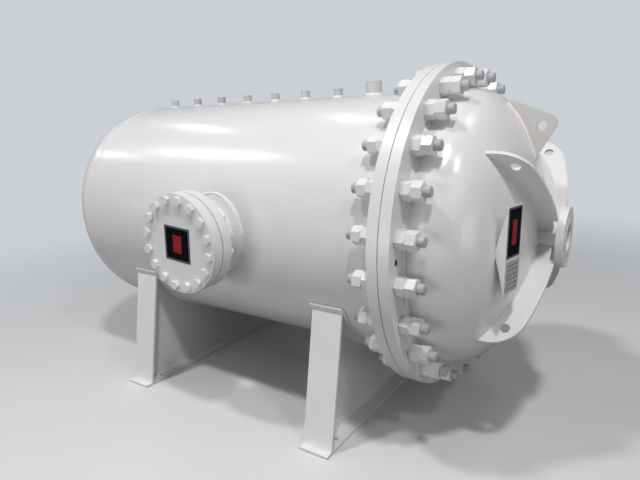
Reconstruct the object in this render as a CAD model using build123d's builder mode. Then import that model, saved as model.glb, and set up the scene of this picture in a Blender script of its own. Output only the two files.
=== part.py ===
"""Horizontal pressure vessel with a bolted closure head, standing on two saddles.

X runs along the vessel towards the closure, -Y is the side of the blind flange,
Z is up. The origin is at the middle of the front saddle's underside.
"""
import math
import os

from build123d import *

# Vessel body: a 48 inch shell with 2:1 heads, sizes in millimetres
shell_od = 1219.2
shell_wall = 15.9
axis_height = 914.4
head_skirt = 50.8
rear_tangent_x = -1592.1

# Main closure flanges, gasket and studs
closure_x = 335.3
closure_skirt = 100.2
body_flange_rim = 60.5
body_flange_thickness = 44.5
body_gasket_thickness = 3.2
body_gasket_width = 20.0
body_gasket_margin = 5.0
body_end_setback = 8.0
body_weld_leg = 12.0
stud_count = 24
stud_diameter = 41.3
stud_projection = 26.9
stud_chamfer = 3.0
stud_hole = 44.5
main_nut_flats = 65.1
main_nut_thickness = 40.5
nut_weld_clearance = 0.3
jack_screw_diameter = 25.4
jack_screw_length = 38.0
jack_screw_recess = 3.0
jack_screw_slot = 5.0

# Side nozzle with its blind cover
side_nozzle_x = -588.1
side_neck_od = 273.05
side_neck_wall = 12.7
side_pad_width = 51.475
side_pad_thickness = 12.7
side_standout = 101.4
side_flange_rim = 28.55
side_flange_thickness = 50.8
side_gasket_thickness = 3.2
side_gasket_width = 28.6
side_bolt_count = 16
side_bolt_offset = 57.175
side_bolt_diameter = 25.4
side_bolt_hole = 28.6
side_bolt_flats = 38.1
side_bolt_head = 16.0
side_bolt_end = 6.0
side_nut_thickness = 22.0
neck_setback = 6.4

# Threaded half couplings along the top
coupling_count = 7
coupling_setback = 88.7
coupling_pitch = 200.0
coupling_od = 44.5
coupling_bore = 29.0
coupling_height = 41.0
large_coupling_od = 76.2
large_coupling_bore = 55.0
large_coupling_height = 63.0
coupling_hole_lip = 1.5
coupling_relief = 1.5
coupling_relief_height = 2.0
coupling_chamfer = 2.0

# End nozzle on the closure head
end_neck_od = 114.3
end_neck_wall = 6.0
end_neck_inside = 10.0
end_projection = 107.5
end_flange_rim = 26.9
end_flange_thickness = 30.2
raised_face_width = 21.45
raised_face_height = 1.6
end_bolt_count = 8
end_bolt_offset = 42.95
end_bolt_hole = 22.2

# Gussets from the closure head to the back of the end flange, with places given
# inwards from the shell's outer face and outwards from the dome
gusset_thickness = 12.7
gusset_angles = {"near_upper": 45, "near_lower": 135, "far_upper": -45, "far_lower": -135}
gusset_inset = 87.6
gusset_toe = 29.4
gusset_corner_radius = 147.0
gusset_corner_turn = 70.6
gusset_edge_bulge = 10.0
gusset_tip_margin = 5.0
gusset_cope_width = 20.0
gusset_cope_land = 7.0
gusset_cope_radius = 12.0
gusset_hole_inset = 159.6
gusset_hole_standoff = 51.2
lifting_hole = 38.1

# Top lifting lug, in the vertical plane through the axis, with places given likewise
lug_top_inset = 59.6
lug_toe = 34.3
lug_corner_inset = 133.3
lug_corner_standoff = 158.4
lug_corner_radius = 38.0
lug_foot_inset = 300.6
lug_foot_sink = 8.0
lug_hole_inset = 161.6
lug_hole_standoff = 70.1

# Nameplate bracket on the near side of the closure head
bracket_inset = 245.6
bracket_standoff = 32.3
bracket_rise = 18.0
bracket_turn = 12.0
bracket_width = 116.6
bracket_height = 332.0
bracket_sheet = 4.0
wing_vertex_drop = 9.0
wing_sink = 3.0
label_thickness = 1.0
panel_label_margin = 6.3
data_plate_margin = 5.3
data_plate_height = 120.0
data_plate_gap = 12.4
side_label_size = 156.0
side_label_turn = -4.5

# Saddles
rear_saddle_setback = 385.9
saddle_width = 152.4
saddle_plate = 12.7
saddle_spread = 51.8
saddle_lean = 10.75
wear_plate_thickness = 9.5
wear_plate_half_angle = 64.0
wear_plate_margin = 8.0
base_toe = 37.1
base_thickness = 12.7
anchor_hole = 22.2
anchor_spacing_x = 76.2
anchor_inset = 93.4

# Wrench angle of the first nut in each ring, and the turn from one nut to the next
nut_turns = {
    "head_side_inner_nuts": (8, 37),
    "head_side_outer_nuts": (24, 23),
    "shell_side_inner_nuts": (40, 29),
    "shell_side_outer_nuts": (12, 41),
}

# Sizes that follow from the ones above
shell_radius = shell_od / 2
bore_radius = shell_radius - shell_wall
head_depth = shell_od / 4
rear_seam_x = rear_tangent_x + head_skirt
front_tangent_x = closure_x + closure_skirt
half_gap = body_gasket_thickness / 2
flange_reach = half_gap + body_flange_thickness
main_nut_corner = main_nut_flats / 2 / math.cos(math.radians(30))
stud_circle = shell_od + 2 * (body_weld_leg + nut_weld_clearance + main_nut_corner)
body_flange_od = stud_circle + 2 * body_flange_rim
stud_length = 2 * (flange_reach + 2 * main_nut_thickness + stud_projection)
stud_turn = 180 / stud_count
jack_turn = 2 * stud_turn * round(stud_count / 4)
side_bolt_circle = side_neck_od + 2 * side_bolt_offset
side_flange_od = side_bolt_circle + 2 * side_flange_rim
side_gasket_od = side_bolt_circle - side_bolt_diameter
side_pad_od = side_neck_od + 2 * side_pad_width
side_flange_back = shell_radius + side_standout
side_flange_face = side_flange_back + side_flange_thickness
cover_back = side_flange_face + side_gasket_thickness
cover_face = cover_back + side_flange_thickness
end_flange_x = front_tangent_x + head_depth + end_projection
end_bolt_circle = end_neck_od + 2 * end_bolt_offset
end_flange_od = end_bolt_circle + 2 * end_flange_rim
raised_face_od = end_neck_od + 2 * raised_face_width
wear_radius = shell_radius + wear_plate_thickness
saddle_x = {"front": 0.0, "rear": rear_tangent_x + rear_saddle_setback}
saddle_foot_reach = shell_radius + saddle_spread
base_length = 2 * (saddle_foot_reach + base_toe)
anchor_spacing_y = 2 * (saddle_foot_reach - anchor_inset)

vessel_axis = Axis((0, 0, axis_height), (1, 0, 0))
section_plane = Plane(origin=(0, 0, axis_height), x_dir=(1, 0, 0), z_dir=(0, -1, 0))


def ring_plane(x):
    """Plane across the vessel at x; its angles start at the top and turn to the near side."""
    return Plane(origin=(x, 0, axis_height), x_dir=(0, 0, 1), z_dir=(1, 0, 0))


def radial_plane(angle):
    """Plane through the vessel axis, whose y points away from the axis at this angle."""
    turn = math.radians(angle)
    return Plane(
        origin=(0, 0, axis_height),
        x_dir=(1, 0, 0),
        z_dir=(0, -math.cos(turn), -math.sin(turn)),
    )


def nozzle_plane(reach):
    """Plane across the side nozzle at this distance from the vessel axis, facing out."""
    return Plane(
        origin=(side_nozzle_x, -reach, axis_height),
        x_dir=(1, 0, 0),
        z_dir=(0, -1, 0),
    )


def dome_x(reach):
    """X of the closure head's outer face at this distance from the vessel axis."""
    return front_tangent_x + head_depth * math.sqrt(1 - (reach / shell_radius) ** 2)


def save(name, piece):
    """Label a finished piece and write it to its own STEP file."""
    piece.label = name
    export_step(piece, f"parts/{name}.step")


os.makedirs("parts", exist_ok=True)

# Solid outlines that welded pieces are trimmed against
with BuildPart() as shell_outline:
    with BuildSketch(ring_plane(rear_tangent_x)):
        Circle(shell_radius)
    extrude(amount=front_tangent_x - rear_tangent_x)

with BuildPart() as dome_outline:
    with BuildSketch(section_plane):
        with BuildLine():
            EllipticalCenterArc((front_tangent_x, 0), head_depth, shell_radius, arc_size=90)
            Line((front_tangent_x, shell_radius), (closure_x, shell_radius))
            Line((closure_x, shell_radius), (closure_x, 0))
            Line((closure_x, 0), (front_tangent_x + head_depth, 0))
        make_face()
    revolve(axis=vessel_axis)

# Shell, open at the closure and welded to the rear head
coupling_first_x = rear_seam_x + coupling_setback
coupling_xs = [coupling_first_x + i * coupling_pitch for i in range(coupling_count)]
large_coupling_x = coupling_first_x + coupling_count * coupling_pitch
shell_end_x = closure_x - half_gap - body_end_setback
head_start_x = closure_x + half_gap + body_end_setback

with BuildPart() as shell:
    with BuildSketch(ring_plane(rear_seam_x)):
        Circle(shell_radius)
        Circle(bore_radius, mode=Mode.SUBTRACT)
    extrude(amount=shell_end_x - rear_seam_x)
    with BuildSketch(nozzle_plane(0)):
        Circle(side_neck_od / 2)
    extrude(amount=shell_od, mode=Mode.SUBTRACT)
    with BuildSketch(Plane.XY.offset(axis_height)):
        with Locations([(x, 0) for x in coupling_xs]):
            Circle(coupling_bore / 2 - coupling_hole_lip)
        with Locations((large_coupling_x, 0)):
            Circle(large_coupling_bore / 2 - coupling_hole_lip)
    extrude(amount=shell_od, mode=Mode.SUBTRACT)
save("shell", shell.part)


def dished_head(name, tangent_x, skirt_x, side, opening_od=None):
    """2:1 head with a straight skirt, domed to side -1 or +1, with a hole in its crown."""
    crown = tangent_x + side * head_depth
    inner_depth = head_depth - shell_wall
    start = 0 if side > 0 else 180
    turn = 90 * side
    centre = (tangent_x, 0)
    with BuildPart() as head:
        with BuildSketch(section_plane):
            with BuildLine():
                EllipticalCenterArc(centre, head_depth, shell_radius, start, arc_size=turn)
                EllipticalCenterArc(centre, inner_depth, bore_radius, start, arc_size=turn)
                Line((crown, 0), (crown - side * shell_wall, 0))
                Polyline(
                    (tangent_x, bore_radius),
                    (skirt_x, bore_radius),
                    (skirt_x, shell_radius),
                    (tangent_x, shell_radius),
                )
            make_face()
        revolve(axis=vessel_axis)
        if opening_od:
            with BuildSketch(ring_plane(tangent_x)):
                Circle(opening_od / 2)
            extrude(amount=side * 2 * head_depth, mode=Mode.SUBTRACT)
    save(name, head.part)


dished_head("rear_head", rear_tangent_x, rear_seam_x, -1)
dished_head("closure_head", front_tangent_x, head_start_x, 1, opening_od=end_neck_od)


def body_flange(name, side, jack_holes):
    """Ring flange with stud holes and its fillet weld to the shell, on side -1 or +1."""
    face_x = closure_x + side * half_gap
    back_x = closure_x + side * flange_reach
    weld_x = back_x + side * body_weld_leg
    with BuildPart() as flange:
        with BuildSketch(section_plane):
            with BuildLine():
                Polyline(
                    (face_x, shell_radius),
                    (face_x, body_flange_od / 2),
                    (back_x, body_flange_od / 2),
                    (back_x, shell_radius + body_weld_leg),
                    (weld_x, shell_radius),
                    close=True,
                )
            make_face()
        revolve(axis=vessel_axis)
        with BuildSketch(ring_plane(face_x)):
            with PolarLocations(stud_circle / 2, stud_count, start_angle=stud_turn):
                Circle(stud_hole / 2)
        extrude(amount=side * body_flange_thickness, mode=Mode.SUBTRACT)
        if jack_holes:
            with BuildSketch(ring_plane(face_x)):
                with PolarLocations(stud_circle / 2, 2, start_angle=jack_turn):
                    Circle(jack_screw_diameter / 2)
            extrude(amount=side * body_flange_thickness, mode=Mode.SUBTRACT)
    save(name, flange.part)


body_flange("shell_flange", -1, jack_holes=False)
body_flange("head_flange", 1, jack_holes=True)

with BuildPart() as main_gasket:
    with BuildSketch(ring_plane(closure_x - half_gap)):
        Circle(shell_radius + body_gasket_margin + body_gasket_width)
        Circle(shell_radius + body_gasket_margin, mode=Mode.SUBTRACT)
    extrude(amount=body_gasket_thickness)
save("main_gasket", main_gasket.part)

# Slotted jack screws, half way between two studs on each side
with BuildPart() as jack_screws:
    with BuildSketch(ring_plane(closure_x + flange_reach - jack_screw_recess)):
        with PolarLocations(stud_circle / 2, 2, start_angle=jack_turn):
            Circle(jack_screw_diameter / 2)
    extrude(amount=-jack_screw_length)
    with BuildSketch(ring_plane(closure_x + flange_reach - jack_screw_recess)):
        with PolarLocations(stud_circle / 2, 2, start_angle=jack_turn):
            Rectangle(jack_screw_slot, jack_screw_diameter * 2)
    extrude(amount=-jack_screw_slot, mode=Mode.SUBTRACT)
save("jack_screws", jack_screws.part)

# Studs through both flanges, with two nuts at each end
with BuildPart() as main_studs:
    with BuildSketch(ring_plane(closure_x - stud_length / 2)):
        with PolarLocations(stud_circle / 2, stud_count, start_angle=stud_turn):
            Circle(stud_diameter / 2)
    extrude(amount=stud_length)
    ends = main_studs.edges().filter_by(GeomType.CIRCLE)
    chamfer(ends, stud_chamfer)
save("main_studs", main_studs.part)


def nut_ring(name, seat_x, side):
    """One heavy hex nut on every stud, each left at its own wrench angle."""
    first_turn, step_turn = nut_turns[name]
    with BuildPart() as nuts:
        with BuildSketch(ring_plane(seat_x)):
            for i in range(stud_count):
                place = stud_turn * (2 * i + 1)
                turn = (first_turn + i * step_turn) % 60
                with PolarLocations(stud_circle / 2, 1, start_angle=place):
                    RegularPolygon(main_nut_flats / 2, 6, major_radius=False, rotation=turn)
                    Circle(stud_diameter / 2, mode=Mode.SUBTRACT)
        extrude(amount=side * main_nut_thickness)
    save(name, nuts.part)


inner_seat = flange_reach
outer_seat = flange_reach + main_nut_thickness
nut_ring("head_side_inner_nuts", closure_x + inner_seat, 1)
nut_ring("head_side_outer_nuts", closure_x + outer_seat, 1)
nut_ring("shell_side_inner_nuts", closure_x - inner_seat, -1)
nut_ring("shell_side_outer_nuts", closure_x - outer_seat, -1)

# Side nozzle: neck through the shell, reinforcing pad, flange, gasket and cover
with BuildPart() as side_nozzle_neck:
    with BuildSketch(nozzle_plane(0)):
        Circle(side_neck_od / 2)
        Circle(side_neck_od / 2 - side_neck_wall, mode=Mode.SUBTRACT)
    extrude(amount=side_flange_face - neck_setback)
    with BuildSketch(ring_plane(rear_tangent_x)):
        Circle(bore_radius)
    extrude(amount=front_tangent_x - rear_tangent_x, mode=Mode.SUBTRACT)
save("side_nozzle_neck", side_nozzle_neck.part)

with BuildPart() as side_nozzle_pad:
    with BuildSketch(ring_plane(side_nozzle_x - side_pad_od / 2)):
        Circle(shell_radius + side_pad_thickness)
        Circle(shell_radius, mode=Mode.SUBTRACT)
    extrude(amount=side_pad_od)
    with BuildSketch(nozzle_plane(0)):
        Circle(side_pad_od / 2)
        Circle(side_neck_od / 2, mode=Mode.SUBTRACT)
    extrude(amount=shell_od, mode=Mode.INTERSECT)
save("side_nozzle_pad", side_nozzle_pad.part)

with BuildPart() as side_nozzle_flange:
    with BuildSketch(nozzle_plane(side_flange_back)):
        Circle(side_flange_od / 2)
        Circle(side_neck_od / 2, mode=Mode.SUBTRACT)
        with PolarLocations(
            side_bolt_circle / 2, side_bolt_count, start_angle=180 / side_bolt_count
        ):
            Circle(side_bolt_hole / 2, mode=Mode.SUBTRACT)
    extrude(amount=side_flange_thickness)
save("side_nozzle_flange", side_nozzle_flange.part)

with BuildPart() as side_gasket:
    with BuildSketch(nozzle_plane(side_flange_face)):
        Circle(side_gasket_od / 2)
        Circle(side_gasket_od / 2 - side_gasket_width, mode=Mode.SUBTRACT)
    extrude(amount=side_gasket_thickness)
save("side_gasket", side_gasket.part)

with BuildPart() as side_blind_cover:
    with BuildSketch(nozzle_plane(cover_back)):
        Circle(side_flange_od / 2)
        with PolarLocations(
            side_bolt_circle / 2, side_bolt_count, start_angle=180 / side_bolt_count
        ):
            Circle(side_bolt_hole / 2, mode=Mode.SUBTRACT)
    extrude(amount=side_flange_thickness)
save("side_blind_cover", side_blind_cover.part)

# Hex bolts through the cover, with a nut behind the nozzle flange
nut_back = side_flange_back - side_nut_thickness
with BuildPart() as side_cover_bolts:
    with BuildSketch(nozzle_plane(nut_back - side_bolt_end)):
        with PolarLocations(
            side_bolt_circle / 2, side_bolt_count, start_angle=180 / side_bolt_count
        ):
            Circle(side_bolt_diameter / 2)
    extrude(amount=cover_face - nut_back + side_bolt_end)
    with BuildSketch(nozzle_plane(cover_face)):
        with PolarLocations(
            side_bolt_circle / 2, side_bolt_count, start_angle=180 / side_bolt_count
        ):
            RegularPolygon(side_bolt_flats / 2, 6, major_radius=False)
    extrude(amount=side_bolt_head)
save("side_cover_bolts", side_cover_bolts.part)

with BuildPart() as side_cover_nuts:
    with BuildSketch(nozzle_plane(nut_back)):
        with PolarLocations(
            side_bolt_circle / 2, side_bolt_count, start_angle=180 / side_bolt_count
        ):
            RegularPolygon(side_bolt_flats / 2, 6, major_radius=False)
            Circle(side_bolt_diameter / 2, mode=Mode.SUBTRACT)
    extrude(amount=side_nut_thickness)
save("side_cover_nuts", side_cover_nuts.part)

with BuildPart() as side_label:
    with BuildSketch(nozzle_plane(cover_face)):
        Rectangle(side_label_size, side_label_size, rotation=side_label_turn)
    extrude(amount=label_thickness)
save("side_label", side_label.part)


def half_coupling(name, x, outside, bore, height):
    """Half coupling on top of the shell, its threaded bore relieved at the foot."""
    with BuildPart() as coupling:
        with BuildSketch(Plane.XY.offset(axis_height + bore_radius)):
            with Locations((x, 0)):
                Circle(outside / 2)
                Circle(bore / 2, mode=Mode.SUBTRACT)
        extrude(amount=shell_wall + height)
        rim = coupling.edges().group_by(Axis.Z)[-1].sort_by(SortBy.LENGTH)[-1]
        chamfer(rim, coupling_chamfer)
        with BuildSketch(Plane.XY.offset(axis_height + bore_radius)):
            with Locations((x, 0)):
                Circle(bore / 2 + coupling_relief)
        extrude(amount=shell_wall + coupling_relief_height, mode=Mode.SUBTRACT)
        add(shell_outline.part, mode=Mode.SUBTRACT)
    save(name, coupling.part)


for number, x in enumerate(coupling_xs, start=1):
    half_coupling(f"coupling_{number}", x, coupling_od, coupling_bore, coupling_height)
half_coupling(
    "large_coupling",
    large_coupling_x,
    large_coupling_od,
    large_coupling_bore,
    large_coupling_height,
)

# End nozzle: neck through the closure head and a raised-face flange
end_flange_back = end_flange_x - raised_face_height - end_flange_thickness
neck_start_x = front_tangent_x + head_depth - shell_wall - end_neck_inside
with BuildPart() as end_nozzle_neck:
    with BuildSketch(ring_plane(neck_start_x)):
        Circle(end_neck_od / 2)
        Circle(end_neck_od / 2 - end_neck_wall, mode=Mode.SUBTRACT)
    extrude(amount=end_flange_x - neck_setback - neck_start_x)
save("end_nozzle_neck", end_nozzle_neck.part)

with BuildPart() as end_nozzle_flange:
    with BuildSketch(ring_plane(end_flange_back)):
        Circle(end_flange_od / 2)
        with PolarLocations(
            end_bolt_circle / 2, end_bolt_count, start_angle=180 / end_bolt_count
        ):
            Circle(end_bolt_hole / 2, mode=Mode.SUBTRACT)
    extrude(amount=end_flange_thickness)
    with BuildSketch(ring_plane(end_flange_back)):
        Circle(raised_face_od / 2)
    extrude(amount=end_flange_thickness + raised_face_height)
    with BuildSketch(ring_plane(end_flange_back)):
        Circle(end_neck_od / 2)
    extrude(amount=end_flange_x - end_flange_back, mode=Mode.SUBTRACT)
save("end_nozzle_flange", end_nozzle_flange.part)


gusset_reach = shell_radius - gusset_inset
gusset_flat_end_x = dome_x(gusset_reach) + gusset_toe
gusset_tip_reach = end_flange_od / 2 + gusset_tip_margin
gusset_cope_reach = end_flange_od / 2 - gusset_cope_land
gusset_hole_reach = shell_radius - gusset_hole_inset
gusset_hole_x = dome_x(gusset_hole_reach) + gusset_hole_standoff


def gusset(name, angle):
    """Gusset plate between the dome, the neck and the back of the end flange."""
    turn = math.radians(gusset_corner_turn)
    edge_start = (
        gusset_flat_end_x + gusset_corner_radius * math.sin(turn),
        gusset_reach - gusset_corner_radius * (1 - math.cos(turn)),
    )
    tip = (end_flange_back, gusset_tip_reach)
    middle = (
        (edge_start[0] + tip[0]) / 2 + gusset_edge_bulge,
        (edge_start[1] + tip[1]) / 2,
    )
    cope_x = end_flange_back - gusset_cope_width
    neck_edge = end_neck_od / 2 - end_neck_wall
    with BuildPart() as plate:
        with BuildSketch(radial_plane(angle)) as outline:
            with BuildLine():
                Line((front_tangent_x, neck_edge), (front_tangent_x, gusset_reach))
                Line((front_tangent_x, gusset_reach), (gusset_flat_end_x, gusset_reach))
                JernArc(
                    (gusset_flat_end_x, gusset_reach),
                    (1, 0),
                    gusset_corner_radius,
                    -gusset_corner_turn,
                )
                ThreePointArc(edge_start, middle, tip)
                Line(tip, (end_flange_back, gusset_cope_reach))
                Line((end_flange_back, gusset_cope_reach), (cope_x, gusset_cope_reach))
                Line((cope_x, gusset_cope_reach), (cope_x, neck_edge))
                Line((cope_x, neck_edge), (front_tangent_x, neck_edge))
            make_face()
            cope_corner = outline.vertices().sort_by_distance(
                radial_plane(angle).from_local_coords(Vector(cope_x, gusset_cope_reach, 0))
            )[0]
            fillet(cope_corner, gusset_cope_radius)
            with Locations((gusset_hole_x, gusset_hole_reach)):
                Circle(lifting_hole / 2, mode=Mode.SUBTRACT)
        extrude(amount=gusset_thickness / 2, both=True)
        add(dome_outline.part, mode=Mode.SUBTRACT)
        with BuildSketch(ring_plane(front_tangent_x)):
            Circle(end_neck_od / 2)
        extrude(amount=end_flange_x - front_tangent_x, mode=Mode.SUBTRACT)
    save(name, plate.part)


for place, angle in gusset_angles.items():
    gusset(f"gusset_{place}", angle)

lug_top_reach = shell_radius - lug_top_inset
lug_top_x = dome_x(lug_top_reach) + lug_toe
lug_corner_reach = shell_radius - lug_corner_inset
lug_corner = (dome_x(lug_corner_reach) + lug_corner_standoff, lug_corner_reach)
lug_foot_reach = shell_radius - lug_foot_inset
lug_foot = (dome_x(lug_foot_reach) - lug_foot_sink, lug_foot_reach)
lug_hole_reach = shell_radius - lug_hole_inset
lug_hole_x = dome_x(lug_hole_reach) + lug_hole_standoff

with BuildPart() as top_lifting_lug:
    with BuildSketch(radial_plane(0)) as lug_outline:
        with BuildLine():
            Polyline(
                (front_tangent_x, lug_foot_reach),
                (front_tangent_x, lug_top_reach),
                (lug_top_x, lug_top_reach),
                lug_corner,
                lug_foot,
                close=True,
            )
        make_face()
        outer_corner = lug_outline.vertices().sort_by(Axis.X)[-1]
        fillet(outer_corner, lug_corner_radius)
        with Locations((lug_hole_x, lug_hole_reach)):
            Circle(lifting_hole / 2, mode=Mode.SUBTRACT)
    extrude(amount=gusset_thickness / 2, both=True)
    add(dome_outline.part, mode=Mode.SUBTRACT)
save("top_lifting_lug", top_lifting_lug.part)

# Nameplate bracket: a folded sheet whose wings stand on the dome
turn = math.radians(bracket_turn)
along = Vector(math.sin(turn), math.cos(turn), 0)
outward = Vector(math.cos(turn), -math.sin(turn), 0)
bracket_reach = shell_radius - bracket_inset
bracket_x = dome_x(bracket_reach) + bracket_standoff
panel_centre = Vector(bracket_x, -bracket_reach, axis_height + bracket_rise)
panel_plane = Plane(origin=panel_centre, x_dir=along, z_dir=outward)
data_plate_rise = data_plate_margin + data_plate_height / 2 - bracket_height / 2
panel_label_foot = data_plate_rise + data_plate_height / 2 + data_plate_gap
panel_label_height = bracket_height / 2 - panel_label_margin - panel_label_foot
panel_label_rise = panel_label_foot + panel_label_height / 2


def wing_depth(vertex):
    """Depth of a wing whose vertex goes from here straight back into the dome."""
    hits = dome_outline.part.find_intersection_points(Axis(vertex, -outward))
    return min((hit - vertex).length for hit, normal in hits) + wing_sink


with BuildPart() as nameplate_bracket:
    with BuildSketch(panel_plane):
        Rectangle(bracket_width, bracket_height)
    extrude(amount=-bracket_sheet)
    for side in (-1, 1):
        edge = panel_centre + along * (side * bracket_width / 2)
        depth = wing_depth(edge - Vector(0, 0, wing_vertex_drop))
        with BuildSketch(Plane(origin=edge, x_dir=-outward, z_dir=along * side)):
            with BuildLine():
                Polyline(
                    (0, bracket_height / 2),
                    (0, -bracket_height / 2),
                    (depth, -side * wing_vertex_drop),
                    close=True,
                )
            make_face()
        extrude(amount=-bracket_sheet)
    add(dome_outline.part, mode=Mode.SUBTRACT)
save("nameplate_bracket", nameplate_bracket.part)

with BuildPart() as panel_label:
    with BuildSketch(panel_plane):
        with Locations((0, panel_label_rise)):
            Rectangle(bracket_width - 2 * panel_label_margin, panel_label_height)
    extrude(amount=label_thickness)
save("panel_label", panel_label.part)

with BuildPart() as data_plate:
    with BuildSketch(panel_plane):
        with Locations((0, data_plate_rise)):
            Rectangle(bracket_width - 2 * data_plate_margin, data_plate_height)
    extrude(amount=label_thickness)
save("data_plate", data_plate.part)

# Saddles: wear plate, web, two leaning legs and a base plate each
lean = math.tan(math.radians(saddle_lean))
leg_depth = saddle_plate / math.cos(math.radians(saddle_lean))
leg_top_z = axis_height - wear_radius * math.cos(math.radians(wear_plate_half_angle))


def leg_reach(z):
    """Distance of a leg's outer face from the middle plane at height z."""
    return saddle_foot_reach - (z - base_thickness) * lean


def saddle_leg(name, x, side):
    """Leaning outer plate of a saddle, cut to the wear plate."""
    with BuildPart() as leg:
        with BuildSketch(Plane.YZ.offset(x - saddle_width / 2)):
            with BuildLine():
                Polyline(
                    (side * leg_reach(base_thickness), base_thickness),
                    (side * leg_reach(leg_top_z), leg_top_z),
                    (side * (leg_reach(leg_top_z) - leg_depth), leg_top_z),
                    (side * (leg_reach(base_thickness) - leg_depth), base_thickness),
                    close=True,
                )
            make_face()
            with Locations((0, axis_height)):
                Circle(wear_radius, mode=Mode.SUBTRACT)
        extrude(amount=saddle_width)
    save(name, leg.part)


def saddle(name, x):
    """All welded plates of one saddle, centred at x."""
    with BuildPart() as wear_plate:
        with BuildSketch(ring_plane(x - saddle_width / 2 - wear_plate_margin)):
            with BuildLine():
                start = 180 - wear_plate_half_angle
                sweep = 2 * wear_plate_half_angle
                outer = CenterArc((0, 0), wear_radius, start, sweep)
                inner = CenterArc((0, 0), shell_radius, start, sweep)
                Line(outer @ 0, inner @ 0)
                Line(outer @ 1, inner @ 1)
            make_face()
        extrude(amount=saddle_width + 2 * wear_plate_margin)
    save(f"{name}_wear_plate", wear_plate.part)

    with BuildPart() as web:
        with BuildSketch(Plane.YZ.offset(x - saddle_plate / 2)):
            foot = leg_reach(base_thickness) - leg_depth
            top = leg_reach(leg_top_z) - leg_depth
            with BuildLine():
                Polyline(
                    (-foot, base_thickness),
                    (foot, base_thickness),
                    (top, leg_top_z),
                    (-top, leg_top_z),
                    close=True,
                )
            make_face()
            with Locations((0, axis_height)):
                Circle(wear_radius, mode=Mode.SUBTRACT)
        extrude(amount=saddle_plate)
    save(f"{name}_saddle_web", web.part)

    saddle_leg(f"{name}_near_leg", x, -1)
    saddle_leg(f"{name}_far_leg", x, 1)

    with BuildPart() as base_plate:
        with BuildSketch(Plane.XY):
            with Locations((x, 0)):
                Rectangle(saddle_width, base_length)
                with GridLocations(anchor_spacing_x, anchor_spacing_y, 2, 2):
                    Circle(anchor_hole / 2, mode=Mode.SUBTRACT)
        extrude(amount=base_thickness)
    save(f"{name}_base_plate", base_plate.part)


for name, x in saddle_x.items():
    saddle(name, x)
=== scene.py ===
"""Looks of a horizontal pressure vessel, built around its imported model.

Lengths are in metres, in the model's own frame: +X runs along the vessel to its
bolted closure, -Y is the side of the blinded nozzle, and +Z is up from the floor.
Angles round the vessel start at the top and turn towards the near side.
"""
from __future__ import annotations

import logging
import math
from collections.abc import Iterable, Iterator
from dataclasses import dataclass, field
from enum import Enum

import bmesh
import bpy
import numpy as np
from mathutils import Matrix, Vector

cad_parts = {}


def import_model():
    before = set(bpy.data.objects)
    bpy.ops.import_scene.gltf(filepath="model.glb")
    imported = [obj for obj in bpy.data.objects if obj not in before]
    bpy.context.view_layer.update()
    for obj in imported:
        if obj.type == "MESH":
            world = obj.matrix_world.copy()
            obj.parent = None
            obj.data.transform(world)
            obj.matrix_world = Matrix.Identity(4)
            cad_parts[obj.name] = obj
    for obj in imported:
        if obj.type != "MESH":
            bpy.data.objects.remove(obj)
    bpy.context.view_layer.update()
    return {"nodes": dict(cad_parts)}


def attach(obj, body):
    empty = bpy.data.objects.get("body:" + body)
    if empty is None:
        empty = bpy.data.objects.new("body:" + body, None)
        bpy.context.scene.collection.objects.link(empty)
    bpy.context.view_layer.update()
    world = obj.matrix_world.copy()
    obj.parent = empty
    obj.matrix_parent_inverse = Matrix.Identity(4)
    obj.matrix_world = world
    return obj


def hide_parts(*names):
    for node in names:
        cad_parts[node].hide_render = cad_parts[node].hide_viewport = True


Array = np.ndarray
Triple = tuple[float, float, float]
LOG = logging.getLogger("vessel")
MM = 0.001
INCH = 0.0254

# Distance under which two points of a mesh are one
SAME_POINT = 2e-6

# Angles in degrees past which an edge stays sharp, low for chamfers and high for threads
HEX_SHARP = 24.0
PLATE_SHARP = 32.0
THREAD_SHARP = 60.0

# Rows of points along one pitch of a thread
ROWS_PER_PITCH = 5

# Stretches in the rounding of an outline's corner
CORNER_STEPS = 3

# Degrees of turn after which a hexagon looks the same
HEX_TURN = 60

# Places of the colour sockets on a Mix node
MIX_FACTOR = 0
MIX_FIRST = 6
MIX_SECOND = 7
MIX_RESULT = 2

# Signs of the two sides of a plate, or of the two legs of a saddle
BOTH_SIDES = (-1, 1)


class Wrap(Enum):
    """Which of a grid's two directions close on themselves."""

    NONE = (False, False)
    ROWS = (True, False)
    BOTH = (True, True)


class End(Enum):
    """The two ends of the vessel, as a sign along X."""

    REAR = -1
    FRONT = 1


@dataclass(frozen=True)
class VesselSizes:
    """Real sizes that several sub-assemblies share."""

    axis_z: float = 0.9144
    radius: float = 0.6096
    head_depth: float = 0.3048
    front_tangent_x: float = 0.4355
    closure_x: float = 0.3353
    flange_reach: float = 46.1 * MM

    def dome_x(self, rho: Array) -> Array:
        """X of the closure head's outer face at a distance rho from the axis."""
        inside = np.clip(1 - (rho / self.radius) ** 2, 0, 1)
        return self.front_tangent_x + self.head_depth * np.sqrt(inside)

    def on_axis(self, x: float) -> Array:
        """Point of the vessel's axis at x."""
        return np.array([x, 0.0, self.axis_z])


VESSEL = VesselSizes()


def unit(vectors: Array) -> Array:
    """The vectors, scaled to length one along their last axis."""
    return vectors / np.linalg.norm(vectors, axis=-1, keepdims=True)


def round_turn(count: int) -> Array:
    """Angles of a full turn, from zero, with the last one left out."""
    return np.linspace(0, 2 * np.pi, count, endpoint=False)


def outward(angle: Array | float) -> Array:
    """Direction away from the vessel's axis at an angle round it."""
    angle = np.asarray(angle, float)
    return np.stack([0 * angle, -np.sin(angle), np.cos(angle)], axis=-1)


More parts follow.
